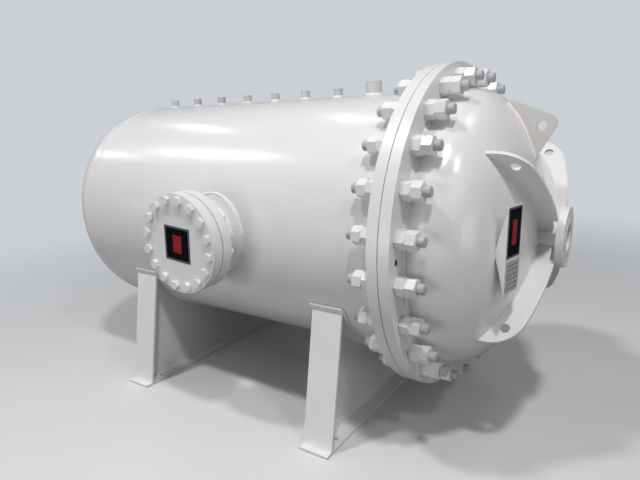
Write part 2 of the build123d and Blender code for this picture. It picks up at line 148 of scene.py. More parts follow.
@dataclass(frozen=True)
class Basis:
    """A local frame: an origin, an axis and the direction where angles start.

    Angles turn from `start` towards `axis` x `start`.
    """

    origin: Triple | Array
    axis: Triple | Array
    start: Triple | Array

    def place(self, along: Array, radius: Array, angle: Array) -> Array:
        """Points at origin + along * axis + radius * (cos, sin)(angle).

        Args:
            along: Distances along the axis.
            radius: Distances from the axis.
            angle: Angles in radians. The three are broadcast together.

        Returns:
            The points, with one more dimension than the three together.
        """
        axis = np.asarray(self.axis, float)
        first = np.asarray(self.start, float)
        second = np.cross(axis, first)
        along, radius, angle = np.broadcast_arrays(along, radius, angle)
        return (
            np.asarray(self.origin, float)
            + along[..., None] * axis
            + (radius * np.cos(angle))[..., None] * first
            + (radius * np.sin(angle))[..., None] * second
        )


@dataclass(frozen=True)
class BoltCircle:
    """Bolts at an equal pitch on a circle, the first half a pitch off `start`.

    Angles turn from `start` towards `side`.
    """

    start: Triple
    side: Triple
    radius: float
    count: int

    def spots(self, centre: Array, axis: Triple) -> Iterator[Basis]:
        """Frame of each bolt, its axis along `axis` and its angles from the outside.

        Args:
            centre: Middle of the circle.
            axis: Direction in which the bolts stand.

        Yields:
            One frame for each bolt.
        """
        for turn in (np.arange(self.count) + 0.5) * 2 * np.pi / self.count:
            away = math.cos(turn) * np.array(self.start) + math.sin(turn) * np.array(self.side)
            yield Basis(centre + self.radius * away, axis, away)


@dataclass
class MeshMaker:
    """Collects grids of points and turns them into one closed, smooth mesh."""

    name: str
    points: list[Array] = field(default_factory=list)
    quads: list[Array] = field(default_factory=list)
    slots: list[Array] = field(default_factory=list)
    count: int = 0

    def grid(self, points: Array, wrap: Wrap = Wrap.BOTH, slot: int = 0) -> MeshMaker:
        """Add a surface given as a grid of points.

        Args:
            points: Array of shape (rows, columns, 3).
            wrap: Which directions close on themselves.
            slot: Index of the material that the surface takes.

        Returns:
            The maker itself, so that calls can be chained.
        """
        rows, columns = points.shape[:2]
        index = np.arange(rows * columns).reshape(rows, columns) + self.count
        if wrap.value[0]:
            index = np.vstack([index, index[:1]])
        if wrap.value[1]:
            index = np.hstack([index, index[:, :1]])
        corners = (index[:-1, :-1], index[1:, :-1], index[1:, 1:], index[:-1, 1:])
        quads = np.stack(corners, axis=-1).reshape(-1, 4)
        self.points.append(points.reshape(-1, 3))
        self.quads.append(quads)
        self.slots.append(np.full(len(quads), slot, np.int32))
        self.count += rows * columns
        return self

    def build(self, sharp: float = PLATE_SHARP) -> bpy.types.Object:
        """Make the object, with doubles merged and its normals turned outwards.

        Args:
            sharp: Angle in degrees past which an edge stays sharp.

        Returns:
            The new object, linked to the scene, at the origin.
        """
        points = np.concatenate(self.points)
        quads = np.concatenate(self.quads)
        mesh = bpy.data.meshes.new(self.name)
        mesh.vertices.add(len(points))
        mesh.vertices.foreach_set("co", points.astype(np.float32).ravel())
        mesh.loops.add(quads.size)
        mesh.loops.foreach_set("vertex_index", quads.astype(np.int32).ravel())
        mesh.polygons.add(len(quads))
        mesh.polygons.foreach_set("loop_start", np.arange(0, quads.size, 4, dtype=np.int32))
        mesh.polygons.foreach_set("material_index", np.concatenate(self.slots))
        mesh.update(calc_edges=True)
        work = bmesh.new()
        work.from_mesh(mesh)
        bmesh.ops.remove_doubles(work, verts=work.verts, dist=SAME_POINT)
        bmesh.ops.recalc_face_normals(work, faces=work.faces)
        return finish_mesh(work, mesh, self.name, sharp)


def finish_mesh(work: bmesh.types.BMesh, mesh: bpy.types.Mesh, name: str,
                sharp: float) -> bpy.types.Object:
    """Write the work back, shade it smoothly by angle and link its object.

    Args:
        work: The edited mesh, which is freed here.
        mesh: The mesh that takes it.
        name: Name of the object.
        sharp: Angle in degrees past which an edge stays sharp.

    Returns:
        The object, at the origin.
    """
    work.to_mesh(mesh)
    work.free()
    mesh.polygons.foreach_set("use_smooth", np.ones(len(mesh.polygons), bool))
    mesh.set_sharp_from_angle(angle=math.radians(sharp))
    mesh.update()
    piece = bpy.data.objects.new(name, mesh)
    bpy.context.scene.collection.objects.link(piece)
    return piece


def softened(corners: Array, radius: float, steps: int = CORNER_STEPS) -> Array:
    """A closed outline whose corners are rounded.

    Each corner is replaced by a quadratic curve that starts and ends at `radius`
    from it, or at a third of the shorter side where that is less.

    Args:
        corners: Array of shape (n, 2), in order.
        radius: Distance from the corner at which the rounding starts.
        steps: Number of stretches in each rounding.

    Returns:
        Array of shape (n * (steps + 1), 2).
    """
    before = np.roll(corners, 1, axis=0) - corners
    after = np.roll(corners, -1, axis=0) - corners
    shorter = np.minimum(np.linalg.norm(before, axis=1), np.linalg.norm(after, axis=1))
    reach = np.minimum(radius, shorter / 3)[:, None]
    first = (corners + unit(before) * reach)[:, None]
    last = (corners + unit(after) * reach)[:, None]
    t = np.linspace(0, 1, steps + 1)[None, :, None]
    curve = (1 - t) ** 2 * first + 2 * t * (1 - t) * corners[:, None] + t**2 * last
    return curve.reshape(-1, 2)


@dataclass(frozen=True)
class Board:
    """A flat place to build on: its middle, and the directions of its width and height."""

    centre: Array
    along: Array
    upward: Array

    def facing(self) -> Array:
        """Direction that the board faces."""
        return np.cross(self.along, self.upward)

    def outline(self, half: tuple[float, float], height: float, radius: float,
                middle: tuple[float, float] = (0.0, 0.0)) -> Array:
        """A rectangle with rounded corners, over the board.

        Args:
            half: Half its width and half its height. Where they are zero, every
                point is the rectangle's middle.
            height: Height over the board.
            radius: Distance from a corner at which its rounding starts.
            middle: Place of its middle on the board.

        Returns:
            Array of shape (points, 3), with the same number of points for every rectangle.
        """
        corners = np.array([(1, 1), (-1, 1), (-1, -1), (1, -1)], float) * np.asarray(half, float)
        flat = softened(corners, radius) if min(half) > 0 else np.zeros((4 * (CORNER_STEPS + 1), 2))
        flat = flat + np.asarray(middle)
        return self.centre + flat[:, :1] * self.along + flat[:, 1:] * self.upward + height * self.facing()


@dataclass(frozen=True)
class Bead:
    """A fillet weld: its leg, its bulge, its ripples and its slow swell.

    `steps` is the number of stretches along one ripple, and `fewest` that of the
    shortest weld.
    """

    leg: float = 6 * MM
    bulge: float = 0.16
    pitch: float = 7 * MM
    ripple: float = 0.10
    swell: float = 0.08
    swell_pitch: float = 110 * MM
    steps: int = 3
    fewest: int = 4
    across: int = 5

    def lay(self, maker: MeshMaker, path: Array, up: Array | Triple, out: Array | Triple,
            closed: bool = False, slot: int = 0) -> None:
        """Carry the weld's section along a path.

        At each point P of the path the section runs from P + leg * up to
        P + leg * out, bulging by a sine of its width, and closes through P. The
        leg grows with the ripples as 1 + ripple * |sin(pi s / pitch)|, where s is
        the length along the path, and shrinks to nothing at an open end.

        Args:
            maker: Takes the weld.
            path: Root of the weld, of shape (n, 3).
            up: Unit directions along the first plate, of shape (n, 3) or (3,).
            out: Unit directions along the second plate, likewise.
            closed: Whether the path is a ring.
            slot: Index of the weld's material.
        """
        lines = [np.broadcast_to(np.asarray(line, float), path.shape) for line in (path, up, out)]
        if closed:
            lines = [np.vstack([line, line[:1]]) for line in lines]
        stretches = np.linalg.norm(np.diff(lines[0], axis=0), axis=1)
        length = np.concatenate([[0], np.cumsum(stretches)])
        whole = length[-1]
        s = np.linspace(0, whole, max(int(whole / self.pitch * self.steps), self.fewest) + 1)
        path, up, out = (
            np.stack([np.interp(s, length, line[:, k]) for k in range(3)], axis=1) for line in lines
        )
        size = 1 + self.ripple * np.abs(np.sin(np.pi * round(whole / self.pitch) * s / whole))
        size = size + self.swell * np.sin(2 * np.pi * s / whole * max(round(whole / self.swell_pitch), 1))
        if not closed:
            size = size * np.sqrt(np.clip(np.minimum(s, whole - s) / self.leg, 0, 1))
        v = np.linspace(0, 1, self.across)[None, :, None]
        bisector = unit(up + out)[:, None]
        face = (1 - v) * up[:, None] + v * out[:, None] + self.bulge * np.sin(np.pi * v) * bisector
        size = (self.leg * size)[:, None, None]
        grid = np.concatenate([path[:, None], path[:, None] + size * face], axis=1)
        maker.grid(grid[:-1] if closed else grid, Wrap.BOTH if closed else Wrap.NONE, slot)


@dataclass(frozen=True)
class Hexagon:
    """A hexagonal nut or bolt head with chamfered corners.

    `side_offsets` are the points of one side, in degrees from its middle, and
    `softness` is the power of the norm that rounds its corners.
    """

    flats: float
    height: float
    softness: float = 160.0
    crown: float = 0.975
    chamfer: float = math.radians(30)
    side_offsets: tuple[float, ...] = (-30, -28.6, -26.5, -18, -6, 6, 18, 26.5, 28.6)

    def angles(self) -> Array:
        """Angles round the hexagon, close together at its corners."""
        return (np.arange(6)[:, None] * np.pi / 3 + np.radians(self.side_offsets)[None]).ravel()

    def radius(self, angle: Array) -> Array:
        """Distance of the side: half the flats over a p-norm of cosines.

        They are the cosines of the angles to the six flats, cut off at zero, and p
        is the softness.

        Args:
            angle: Angles in radians, from the middle of a flat.

        Returns:
            One distance for each angle.
        """
        flats = np.arange(6) * np.pi / 3
        reach = np.clip(np.cos(angle[:, None] - flats[None]), 0, 1)
        return self.flats / 2 / np.sum(reach**self.softness, axis=1) ** (1 / self.softness)

    def rings(self, inner: float) -> tuple[Array, Array]:
        """Profile of the hexagon at every angle.

        The chamfer is a cone: a point of the side further out than the crown's
        edge lies lower by the tangent of the chamfer's angle times the difference.

        Args:
            inner: Radius of the bore or of the shank.

        Returns:
            Heights and radii, both of shape (angles, 6), from the seat's inner
            edge round the outside to the top's inner edge.
        """
        side = self.radius(self.angles())
        edge = self.flats / 2 * self.crown
        drop = (side - edge) * math.tan(self.chamfer)
        flat = np.ones_like(side)
        heights = (0 * flat, 0 * flat, drop, self.height - drop, self.height * flat, self.height * flat)
        radii = (inner * flat, edge * flat, side, side, edge * flat, inner * flat)
        return np.stack(heights, axis=1), np.stack(radii, axis=1)

    def nuts(self, name: str, bore: float, spots: Iterable[Basis],
             wrenches: Iterable[float]) -> bpy.types.Object:
        """A group of equal nuts, each left at its own wrench angle.

        Args:
            name: Name of the new piece.
            bore: Radius of the bore.
            spots: Frame of each nut's seat.
            wrenches: Angle in radians by which each nut is turned.

        Returns:
            The new piece.
        """
        heights, radii = self.rings(bore)
        maker = MeshMaker(name)
        for spot, wrench in zip(spots, wrenches):
            maker.grid(spot.place(heights, radii, self.angles()[:, None] + wrench))
        return maker.build(HEX_SHARP)


def thread(along: Array, angle: Array, radius: float, pitch: float, depth: float) -> Array:
    """Radius of a screw thread: the wall less a triangle wave of height and angle."""
    phase = np.mod(along / pitch - angle / (2 * np.pi), 1.0)
    return radius - depth * (1 - np.abs(2 * phase - 1))


@dataclass(frozen=True)
class Socket:
    """Shorthand for one output of a shader node."""

    node: bpy.types.Node
    name: str | int


@dataclass
class NodeTree:
    """Short calls for the shader nodes that the finishes use."""

    tree: bpy.types.NodeTree

    def add(self, kind: str, **values: object) -> bpy.types.Node:
        """A new node, with its properties or inputs set.

        Args:
            kind: Its type, without the word ShaderNode.
            **values: Its properties, or its inputs with underscores for spaces.

        Returns:
            The new node.
        """
        node = self.tree.nodes.new("ShaderNode" + kind)
        for name, value in values.items():
            if hasattr(node, name) and not isinstance(value, Socket):
                setattr(node, name, value)
            else:
                self.set(node.inputs[name.replace("_", " ").title()], value)
        return node

    def set(self, target: bpy.types.NodeSocket, value: object) -> None:
        """Give an input a plain value, with alpha 1 for a colour, or feed it from a socket.

        Args:
            target: The input.
            value: The number, vector, colour or socket.
        """
        if isinstance(value, Socket):
            self.tree.links.new(value.node.outputs[value.name], target)
        else:
            target.default_value = (*value, 1) if target.type == "RGBA" else value

    def fill(self, node: bpy.types.Node, values: dict[str | int, object]) -> bpy.types.Node:
        """Set the inputs of a node.

        Args:
            node: The node.
            values: Value or socket for each input, by its name or its place.

        Returns:
            The same node.
        """
        for name, value in values.items():
            self.set(node.inputs[name], value)
        return node

    def group(self, tree: bpy.types.NodeTree, values: dict[str, object]) -> bpy.types.Node:
        """A node group with its inputs set."""
        return self.fill(self.add("Group", node_tree=tree), values)

    def place(self) -> Socket:
        """The point's place in its object."""
        return Socket(self.add("TexCoord"), "Object")

    def stretched(self, where: Socket, scale: Triple) -> Socket:
        """A place scaled along each axis."""
        return Socket(self.fill(self.add("Mapping", vector=where), {"Scale": scale}), "Vector")

    def noise(self, where: Socket, scale: object, detail: float) -> Socket:
        """Noise value at a place."""
        return Socket(self.add("TexNoise", vector=where, scale=scale, detail=detail), "Fac")

    def spread(self, value: Socket, low: float, high: float) -> Socket:
        """The value from 0 to 1 as a value from low to high."""
        node = self.fill(self.add("MapRange"), {"Value": value, "To Min": low, "To Max": high})
        return Socket(node, "Result")

    def ramp(self, value: Socket, low: float, high: float) -> Socket:
        """The value as 0 to 1 between low and high, clamped."""
        node = self.add("MapRange", interpolation_type="SMOOTHSTEP")
        return Socket(self.fill(node, {"Value": value, "From Min": low, "From Max": high}), "Result")

    def math(self, operation: str, *values: object, clamp: bool = False) -> Socket:
        """One arithmetic step."""
        node = self.add("Math", operation=operation, use_clamp=clamp)
        return Socket(self.fill(node, dict(enumerate(values))), "Value")

    def mix(self, share: object, first: object, second: object) -> Socket:
        """A mix of two colours."""
        node = self.add("Mix", data_type="RGBA")
        return Socket(self.fill(node, {MIX_FACTOR: share, MIX_FIRST: first, MIX_SECOND: second}), MIX_RESULT)

    def bump(self, height: Socket, strength: float, distance: float) -> Socket:
        """A normal that is tilted by a height."""
        node = self.add("Bump", height=height)
        return Socket(self.fill(node, {"Strength": strength, "Distance": distance}), "Normal")

    def found(self, kind: str) -> bpy.types.Node:
        """The first node of a type that the tree already has."""
        return next(node for node in self.tree.nodes if node.type == kind)


def new_material(name: str) -> tuple[bpy.types.Material, NodeTree, bpy.types.Node]:
    """A material with one Principled shader.

    Args:
        name: Name of the material.

    Returns:
        The material, the helper for its nodes, and the shader.
    """
    material = bpy.data.materials.new(name)
    material.use_nodes = True
    kit = NodeTree(material.node_tree)
    return material, kit, kit.found("BSDF_PRINCIPLED")


class Effects:
    """Shader node groups that several finishes share, each built once."""

    peel_share = 0.012

    def __init__(self) -> None:
        """Build the groups."""
        self.sprayed = self._sprayed()
        self.grime = self._grime()

    def _start(self, name: str, inputs: tuple[str, ...],
               outputs: tuple[str, ...]) -> tuple[NodeTree, Socket, bpy.types.Node, bpy.types.Node]:
        """Start a group whose inputs and outputs are plain numbers.

        Args:
            name: Name of the group.
            inputs: Names of the inputs.
            outputs: Names of the outputs.

        Returns:
            The group's helper, the point's place, its input node and its output node.
        """
        kit = NodeTree(bpy.data.node_groups.new(name, "ShaderNodeTree"))
        for way, labels in (("INPUT", inputs), ("OUTPUT", outputs)):
            for label in labels:
                kit.tree.interface.new_socket(label, in_out=way, socket_type="NodeSocketFloat")
        entry = kit.tree.nodes.new("NodeGroupInput")
        return kit, kit.place(), entry, kit.tree.nodes.new("NodeGroupOutput")

    def _sprayed(self) -> bpy.types.NodeTree:
        """Skin of a sprayed coat: cloudy tone, orange peel and slow waves of the plate.

        Returns:
            The group, which puts out the tone's share, the gloss's share and the height.
        """
        kit, where, entry, leave = self._start(
            "sprayed_coat", ("Peel Scale", "Wave Scale", "Wave Height"), ("Cloud", "Gloss", "Height"),
        )
        peel = kit.noise(where, scale=Socket(entry, "Peel Scale"), detail=1.0)
        wave = kit.noise(where, scale=Socket(entry, "Wave Scale"), detail=1.0)
        waves = kit.math("MULTIPLY", wave, Socket(entry, "Wave Height"))
        cloud = kit.noise(where, scale=2.2, detail=3.0)
        gloss = kit.noise(where, scale=34.0, detail=3.0)
        kit.fill(leave, {
            "Cloud": kit.ramp(cloud, low=0.3, high=0.7),
            "Gloss": kit.ramp(gloss, low=0.35, high=0.7),
            "Height": kit.math("MULTIPLY_ADD", peel, self.peel_share, waves),
        })
        return kit.tree

    def _grime(self) -> bpy.types.NodeTree:
        """Dust that settles on faces that look up, and splashes near the floor.

        Returns:
            The group, which puts out the share of dirt.
        """
        kit, where, entry, leave = self._start("settled_grime", ("Dust", "Splash Top", "Splash"), ("Mask",))
        height = Socket(kit.add("SeparateXYZ", vector=where), "Z")
        facing = kit.add("SeparateXYZ", vector=Socket(kit.add("NewGeometry"), "Normal"))
        blotch = kit.ramp(kit.noise(where, scale=16.0, detail=5.0), low=0.38, high=0.68)
        speck = kit.ramp(kit.noise(where, scale=90.0, detail=3.0), low=0.45, high=0.7)
        upward = kit.ramp(Socket(facing, "Z"), low=0.75, high=1.0)
        share = kit.math("DIVIDE", height, Socket(entry, "Splash Top"))
        low = kit.math("SUBTRACT", 1.0, share, clamp=True)
        settled = kit.math("MULTIPLY", kit.math("MULTIPLY", upward, blotch), Socket(entry, "Dust"))
        splashed = kit.math("MULTIPLY", kit.math("MULTIPLY", low, speck), Socket(entry, "Splash"))
        kit.fill(leave, {"Mask": kit.math("ADD", settled, splashed, clamp=True)})
        return kit.tree


@dataclass(frozen=True)
class Paint:
    """Sprayed enamel on steel.

    Its tone lies between `shade` and `colour` and its roughness within `rough`.
    `dirt` covers it where dust settles, and where splashes reach, up to `splash_top`.
    """

    name: str
    colour: Triple = (0.835, 0.812, 0.814)
    shade: Triple = (0.815, 0.792, 0.794)
    rough: tuple[float, float] = (0.20, 0.27)
    coat: float = 0.4
    coat_roughness: float = 0.20
    peel: float = 260.0
    wave_scale: float = 3.2
    wave_height: float = 1.0
    bump: float = 0.03
    dust: float = 0.04
    splash: float = 0.05
    splash_top: float = 0.16
    dirt: Triple = (0.42, 0.40, 0.37)
    dirt_roughness: float = 0.35

    def make(self, effects: Effects) -> bpy.types.Material:
        """Build the material.

        Args:
            effects: The shared node groups.

        Returns:
            The new material.
        """
        material, kit, shader = new_material(self.name)
        skin = kit.group(effects.sprayed, {
            "Peel Scale": self.peel, "Wave Scale": self.wave_scale, "Wave Height": self.wave_height,
        })
        grime = kit.group(effects.grime, {
            "Dust": self.dust, "Splash": self.splash, "Splash Top": self.splash_top,
        })
        mask = Socket(grime, "Mask")
        clean = kit.mix(Socket(skin, "Cloud"), self.shade, self.colour)
        gloss = kit.spread(Socket(skin, "Gloss"), *self.rough)
        kit.fill(shader, {
            "Base Color": kit.mix(mask, clean, self.dirt),
            "Roughness": kit.math("MULTIPLY_ADD", mask, self.dirt_roughness, gloss),
            "Coat Weight": self.coat,
            "Coat Roughness": self.coat_roughness,
            "Normal": kit.bump(Socket(skin, "Height"), self.bump, distance=10 * MM),
        })
        return material


@dataclass(frozen=True)
class Metal:
    """Bare metal with rolling grain."""

    name: str
    colour: Triple
    dull: Triple
    roughness: float
    grain: Triple = (40.0, 40.0, 40.0)
    bump: float = 0.15
    polish: float = 0.1
    wear: float = 0.15

    def make(self, _: Effects) -> bpy.types.Material:
        """Build the material, with none of the shared node groups.

        Returns:
            The new material.
        """
        material, kit, shader = new_material(self.name)
        where = kit.place()
        fine = kit.noise(kit.stretched(where, self.grain), scale=6.0, detail=5.0)
        blotch = kit.ramp(kit.noise(where, scale=60.0, detail=4.0), low=0.35, high=0.65)
        kit.fill(shader, {
            "Base Color": kit.mix(blotch, self.dull, self.colour),
            "Metallic": 1.0,
            "Roughness": kit.spread(fine, self.roughness - self.polish, self.roughness + self.wear),
            "Normal": kit.bump(fine, self.bump, distance=1 * MM),
        })
        return material


@dataclass(frozen=True)
class Print:
    """Printed or moulded face with faint scuffs."""

    name: str
    colour: Triple
    scuff: Triple
    roughness: float = 0.5
    specular: float = 0.2
    scuff_stretch: Triple = (1.0, 1.0, 4.0)
    scuff_roughness: float = 0.3
    bump: float = 0.05

    def make(self, _: Effects) -> bpy.types.Material:
        """Build the material, with none of the shared node groups.

        Returns:
            The new material.
        """
        material, kit, shader = new_material(self.name)
        where = kit.place()
        scratches = kit.noise(kit.stretched(where, self.scuff_stretch), scale=85.0, detail=6.0)
        marks = kit.ramp(scratches, low=0.5, high=0.8)
        grain = kit.noise(where, scale=900.0, detail=2.0)
        kit.fill(shader, {
            "Base Color": kit.mix(marks, self.colour, self.scuff),
            "Roughness": kit.math("MULTIPLY_ADD", marks, self.scuff_roughness, self.roughness),
            "Specular IOR Level": self.specular,
            "Normal": kit.bump(grain, self.bump, distance=0.5 * MM),
        })
        return material


# Small parts have a finer and stronger orange peel than the plates, and fainter waves
SMALL_PARTS = {"peel": 480.0, "wave_height": 0.1, "bump": 0.08}

FINISHES = (
    Paint("vessel_enamel"),
    Paint("plate_enamel", (0.84, 0.82, 0.822), (0.82, 0.80, 0.802), (0.28, 0.38), coat=0.25, wave_scale=7.0),
    # Saddles: a lighter copy of the enamel, painted light for the brighter light on their legs
    Paint("saddle_enamel_painted_light", (0.89, 0.87, 0.872), (0.87, 0.85, 0.852), (0.36, 0.48), coat=0.15,
          wave_scale=6.0, dust=0.05, splash=0.08),
    Paint("fastener_enamel", (0.86, 0.84, 0.842), (0.80, 0.78, 0.782), (0.28, 0.42), coat=0.2,
          wave_scale=60.0, dust=0.08, **SMALL_PARTS),
    Paint("stud_enamel", (0.58, 0.57, 0.575), (0.48, 0.47, 0.475), (0.34, 0.48), coat=0.1,
          wave_scale=40.0, **SMALL_PARTS),
    # Lifting lug: the enamel darkened as painted shade for the dimmer light on its face, with a duller,
    # mottled coat of its own
    Paint("lug_dull_enamel_painted_shade", (0.72, 0.70, 0.675), (0.64, 0.62, 0.60), (0.40, 0.55), coat=0.1, wave_scale=14.0),
    # Couplings: a darker tone that swings far towards its shade, standing in for the dark and light
    # reflection streaks on them: painted reflection
    Paint("coupling_enamel_painted_streaks", (0.70, 0.68, 0.675), (0.46, 0.445, 0.44), (0.34, 0.48), coat=0.1,
          wave_scale=75.0, **SMALL_PARTS),
    Paint("weld_enamel", (0.84, 0.82, 0.822), (0.74, 0.72, 0.722), (0.36, 0.50), coat=0.1, peel=520.0,
          wave_scale=90.0, wave_height=0.3, bump=0.3),
    Print("gasket_sheet", (0.03, 0.03, 0.03), (0.08, 0.08, 0.08), 0.75),
    Print("label_black", (0.003, 0.003, 0.004), (0.008, 0.008, 0.010), 0.6, 0.03),
    Print("label_slate", (0.075, 0.092, 0.125), (0.10, 0.12, 0.15)),
    Print("label_red", (0.30, 0.008, 0.010), (0.34, 0.02, 0.02)),
    Metal("etched_plate", (0.60, 0.60, 0.60), (0.42, 0.42, 0.43), 0.5, (30.0, 30.0, 3.0), 0.3),
    Print("etched_fields", (0.27, 0.27, 0.28), (0.40, 0.40, 0.41)),
    Metal("oiled_steel", (0.22, 0.21, 0.2), (0.1, 0.095, 0.09), 0.45),
)

# Finishes of a label's border, field and block
LABEL_FINISHES = ("label_slate", "label_black", "label_red")


@dataclass
class Workshop:
    """The loaded frame and every finish by its name, with the ways to dress a piece."""

    nodes: dict[str, bpy.types.Object]
    finishes: dict[str, bpy.types.Material]
    rounding_segments: int = 2
    flat_within: float = math.radians(0.6)
    rounded_past: float = math.radians(35)

    def dress(self, piece: bpy.types.Object, *finishes: str, slot: str = "paint",
              stands_for: tuple[str, ...] = ()) -> bpy.types.Object:
        """Give a new piece its materials and its body, and hide the CAD nodes that it replaces.

        Args:
            piece: The finished object.
            finishes: Names of its finishes, in the order of its slots.
            slot: Name of the record's material slot.
            stands_for: The CAD nodes that it replaces.

        Returns:
            The same object.
        """
        slots = piece.data.materials
        for index in range(len(slots)):
            slots[index] = self.finishes[finishes[min(index, len(finishes) - 1)]]
        for name in finishes[len(slots):]:
            slots.append(self.finishes[name])
        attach(piece, "root")
        if stands_for:
            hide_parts(*stands_for)
        LOG.info("%s: %d faces", piece.name, len(piece.data.polygons))
        return piece

    def weld(self, maker: MeshMaker) -> None:
        """Build a group of welds, which no CAD node stands for."""
        self.dress(maker.build(), "weld_enamel")

    def repaint(self, finish: str, *nodes: str) -> None:
        """Give CAD nodes that stay in view their better material.

        Args:
            finish: Name of the finish.
            *nodes: Names of the CAD nodes.
        """
        for node in nodes:
            slots = self.nodes[node].data.materials
            if not slots:
                slots.append(self.finishes[finish])
            for index in range(len(slots)):
                slots[index] = self.finishes[finish]

    def soften_edges(self, node: str, name: str, width: float,
                     finish: str = "plate_enamel") -> bpy.types.Object:
        """Stand a copy of a CAD node in its place, with its sharp edges rounded.

        Args:
            node: The CAD node.
            name: Name of the new piece.
            width: Width of the rounding.
            finish: Finish of the new piece.

        Returns:
            The new piece.
        """
        mesh = self.nodes[node].data.copy()
        mesh.name = name
        if "custom_normal" in mesh.attributes:
            mesh.attributes.remove(mesh.attributes["custom_normal"])
        work = bmesh.new()
        work.from_mesh(mesh)
        bmesh.ops.remove_doubles(work, verts=work.verts, dist=SAME_POINT)
        bmesh.ops.dissolve_limit(
            work, angle_limit=self.flat_within, verts=work.verts, edges=work.edges,
            use_dissolve_boundaries=False,
        )
        piece = finish_mesh(work, mesh, name, PLATE_SHARP)
        bevel = piece.modifiers.new("rounded_edges", "BEVEL")
        bevel.width = width
        bevel.segments = self.rounding_segments
        bevel.limit_method = "ANGLE"
        bevel.angle_limit = self.rounded_past
        bevel.harden_normals = True
        bevel.use_clamp_overlap = True
        return self.dress(piece, finish, stands_for=(node,))


@dataclass
class VesselBody:
    """The shell, the rear head and the seam between them."""

    shop: Workshop
    seam_x: float = -1.5413
    seam_width: float = 16 * MM
    seam_crown: float = 1.3 * MM
    seam_sunk: float = 0.2 * MM
    root_depth: float = 2 * MM
    ripple: float = 0.35
    ripple_pitch: float = 6 * MM
    ripple_bow: float = 5.0
    ripple_points: int = 3
    points_across: int = 7
    wander: tuple[float, float] = (0.8 * MM, 0.5 * MM)
    wander_turns: tuple[int, int] = (23, 61)

    def build(self) -> None:
        """Dress the plates and lay the girth seam."""
        self.shop.repaint("vessel_enamel", "shell", "rear_head")
        self._girth_seam()

    def _girth_seam(self) -> None:
        """Low crown of the butt weld.

        Its height over the shell is crown * cos(pi v), v from -0.5 to 0.5 across
        the seam. It swells by a cosine of the angle for its ripples, which trail
        behind at the seam's edges, and wanders along X by two slower sines.
        """
        ripples = round(2 * np.pi * VESSEL.radius / self.ripple_pitch)
        angle = round_turn(ripples * self.ripple_points)[:, None]
        v = np.linspace(-0.5, 0.5, self.points_across)[None, :]
        swell = 1 + self.ripple * np.cos(angle * ripples + self.ripple_bow * v**2)
        height = self.seam_crown * np.cos(np.pi * v) * swell - self.seam_sunk
        wander = (
            self.wander[0] * np.sin(angle * self.wander_turns[0])
            + self.wander[1] * np.sin(angle * self.wander_turns[1] + 1)
        )
        basis = Basis(VESSEL.on_axis(self.seam_x), (1, 0, 0), (0, 0, 1))
        top = basis.place(v * self.seam_width + wander, VESSEL.radius + height, angle)
        under = basis.place(v[:, ::-1] * self.seam_width / 2, VESSEL.radius - self.root_depth, angle)
        grid = np.concatenate([top, np.broadcast_to(under, top.shape)], axis=1)
        self.shop.weld(MeshMaker("rear_girth_seam").grid(grid))


